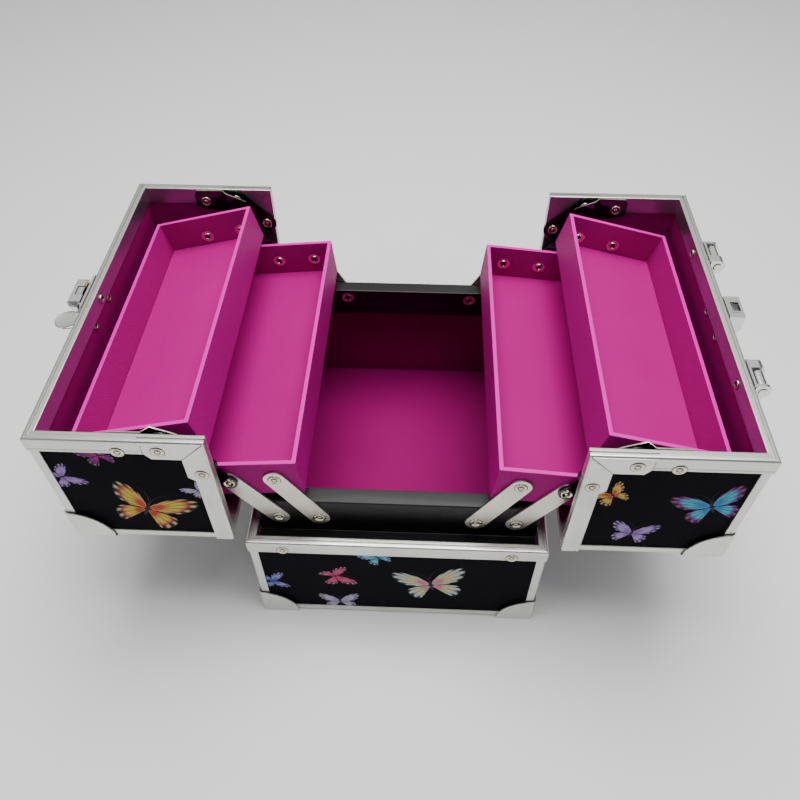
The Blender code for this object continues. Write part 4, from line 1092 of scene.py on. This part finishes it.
def build_handle():
    """The two mounts on the lid, the flat bail and the moulded grip."""
    low = box_mm("handle_bail")[0]
    pivot_u, pivot_z = joint_point("handle_hinge")
    for end_name, end in ENDS.items():
        node = f"handle_mount_{end_name}"
        mlow, mhigh = box_mm(node)
        bm = bmesh.new()
        box(bm, mlow, (mlow[0] + 1.5, mhigh[1], mhigh[2]))
        near, far = (2.0, 6.5) if end < 0 else (6.5, 2.0)
        for y0, y1 in ((mlow[1], mlow[1] + near), (mhigh[1] - far, mhigh[1])):
            outline = [(mlow[0] + 0.5, mlow[2] + 0.2)]
            outline += arc((pivot_u, pivot_z), 5.2, -90, 90, 12)
            outline.append((mlow[0] + 0.5, mhigh[2] - 0.6))
            prism(bm, outline, "y", y0, y1)
        soften(bm, 0.45, 3)
        box(bm, (mlow[0] + 1.3, mlow[1] + near - 0.2, mlow[2] + 2.0),
            (mlow[0] + 1.6, mhigh[1] - far + 0.2, mhigh[2] - 1.0), 1)
        for y, sign in ((mlow[1], -1), (mhigh[1], 1)):
            lathe(bm, (pivot_u, y, pivot_z), "y", sign,
                  [(0, -0.2), (2.9, -0.2), (2.9, 0.25), (2.5, 0.55), (1.6, 0.6), (0, 0.45)])
        piece(f"{node}_bracket", bm, "right_lid", ["chrome", "black_enamel"], [node])

    bm = bmesh.new()
    eye_half = 8.5
    mount_y = 58.0
    for end in (-1, 1):
        y = end * mount_y
        eye = arc((pivot_u, pivot_z), 3.9, -35, 215, 20)
        eye += [(pivot_u - 1.7, low[2] + 3.0), (pivot_u - 1.7, low[2]), (pivot_u + 1.7, low[2]),
                (pivot_u + 1.7, low[2] + 3.0)]
        prism(bm, eye, "y", y - end * (eye_half - 5.2), y + end * eye_half)
    box(bm, (pivot_u - 1.8, -mount_y - eye_half, low[2]), (pivot_u + 1.8, mount_y + eye_half, low[2] + 6.0))
    soften(bm, 0.5)
    piece("handle_bail_bar", bm, "handle", ["chrome"], ["handle_bail"])

    low, high = box_mm("handle_grip")
    centre_u, centre_z = (low[0] + high[0]) / 2, (low[2] + high[2]) / 2
    bm = bmesh.new()
    half_u, half_z = (high[0] - low[0]) / 2, (high[2] - low[2]) / 2
    rings, count = [], 32
    length = high[1] - low[1]
    for n in range(61):
        t = n / 60
        y = low[1] + t * length
        edge = min(t, 1 - t) * length
        shrink = math.sqrt(max(0.0, 1 - max(0.0, 1 - edge / 3.0) ** 2)) * 0.35 + 0.65
        wave = 1.0 - 0.05 * (0.5 - 0.5 * math.cos(2 * math.pi * 5 * t)) * (edge > 6)
        ring = []
        for m in range(count):
            angle = 2 * math.pi * m / count
            c, s = math.cos(angle), math.sin(angle)
            power = (abs(c) ** 3.2 + abs(s) ** 3.2) ** (-1 / 3.2)
            ring.append(bm.verts.new((centre_u + half_u * c * power * shrink * wave, y,
                                      centre_z + half_z * s * power * shrink)))
        rings.append(ring)
    for ring, following in zip(rings, rings[1:]):
        bridge(bm, ring, following)
    bm.faces.new(rings[0])
    bm.faces.new(rings[-1])
    piece("handle_grip_moulding", bm, "handle", ["grip_plastic"], ["handle_grip"])


# ---------------------------------------------------------------- stage

CAMERA_PLACE = (0.01325, -0.3729, 0.53152)
CAMERA_TURN = (49.18, -2.45, -0.18)  # degrees: down, to the right, clockwise
CAMERA_LENS = 33.85


def build_stage():
    """Pale floor, soft lights and the camera; lengths here are metres."""
    bm = bmesh.new()
    half, drop = 6, 0.0002
    for x, y in ((-half, -half), (half, -half), (half, half), (-half, half)):
        bm.verts.new((x, y, -drop))
    bm.faces.new(bm.verts)
    floor = new_object("floor", bm)
    floor.data.materials.append(MATERIALS["paper"])

    world = bpy.data.worlds.new("studio")
    bpy.context.scene.world = world
    world.use_nodes = True
    tree = world.node_tree
    sky = tree.nodes.new("ShaderNodeTexCoord")
    split = tree.nodes.new("ShaderNodeSeparateXYZ")
    ramp = tree.nodes.new("ShaderNodeValToRGB")
    tree.links.new(sky.outputs["Generated"], split.inputs[0])
    tree.links.new(split.outputs["Z"], ramp.inputs[0])
    for element, place, colour in zip(ramp.color_ramp.elements, (0.0, 0.7),
                                      ((0.30, 0.30, 0.31, 1), (1.0, 1.0, 1.0, 1))):
        element.position, element.color = place, colour
    background = tree.nodes["Background"]
    tree.links.new(ramp.outputs[0], background.inputs["Color"])
    background.inputs["Strength"].default_value = 0.22

    for name, place, size, power in (
            ("top", (0.05, 0.10, 1.35), (0.9, 0.9), 25.0),
            ("back", (0.0, 1.25, 1.45), (3.4, 1.4), 8.0),
            ("left", (-1.2, -0.7, 0.9), (0.6, 0.6), 3.5),
            ("right", (1.2, -0.5, 0.8), (0.6, 0.6), 3.0)):
        light = bpy.data.lights.new(name, "AREA")
        light.shape, light.energy = "RECTANGLE", power
        light.size, light.size_y = size
        lamp = bpy.data.objects.new(name, light)
        bpy.context.scene.collection.objects.link(lamp)
        lamp.location = place
        lamp.rotation_euler = (Vector((0, 0, 0.1)) - Vector(place)).to_track_quat("-Z", "Y").to_euler()

    camera = bpy.data.objects.new("camera", bpy.data.cameras.new("camera"))
    bpy.context.scene.collection.objects.link(camera)
    camera.data.lens, camera.data.sensor_width = CAMERA_LENS, 36.0
    pitch, yaw, roll = (math.radians(a) for a in CAMERA_TURN)
    forward = Vector((math.sin(yaw) * math.cos(pitch), math.cos(yaw) * math.cos(pitch), -math.sin(pitch)))
    right = Vector((math.cos(yaw), -math.sin(yaw), 0.0))
    up = right.cross(forward)
    right, up = (math.cos(roll) * right + math.sin(roll) * up,
                 -math.sin(roll) * right + math.cos(roll) * up)
    rows = [(right[k], up[k], -forward[k], CAMERA_PLACE[k]) for k in range(3)]
    camera.matrix_world = Matrix((*rows, (0, 0, 0, 1)))
    camera.data.clip_start, camera.data.clip_end = 0.02, 30.0
    bpy.context.scene.camera = camera


# ---------------------------------------------------------------- the case

make_materials()
base = Shell("base", "base", ["+z"])
left = Shell("left_lid", "left_lid", ["+x", "+z"])
right = Shell("right_lid", "right_lid", ["-x", "+z"])
for number, part in enumerate((base, left, right)):
    build_frame(part)
    print_panel(part, "-y", FRONT_DESIGNS[part.name])
    for face in part.closed_faces():
        if face != "-y" and not (part is base and face == "-z"):
            print_panel(part, face, scattered(part, face, 10 * number + "xyz".index(face[1]) * 2
                                              + (face[0] == "+")))

for end_label, end_sign in ENDS.items():
    for label, sign in SIDES.items():
        edge = base.high[0] * sign
        corner_guard(f"base_corner_{label}_{end_label}", "base", (edge, end_sign * base.high[1], 0.0),
                     (-sign, -end_sign, 1), False)
        lid = left if sign < 0 else right
        edge = lid.low[0] if sign < 0 else lid.high[0]
        corner_guard(f"{label}_lid_corner_{end_label}", lid.body,
                     (edge, end_sign * lid.high[1], lid.low[2]), (-sign, -end_sign, 1), True)
        free_corner_plates(lid, sign, end_label)
        build_links(sign, end_label)
    build_bar(end_label)

for sign in SIDES.values():
    build_tray(sign, "lower")
    build_tray(sign, "upper")
    build_hinge(sign)
build_base_fittings()
lid_inside_rivets(-1, [(-0.4, 195.0), (10.7, 186.0), (-17.8, 186.5)])
lid_inside_rivets(1, [(-62.2, 195.0), (-13.0, 187.0), (11.5, 187.0), (62.9, 195.0)])
build_lock()
build_handle()
build_stage()
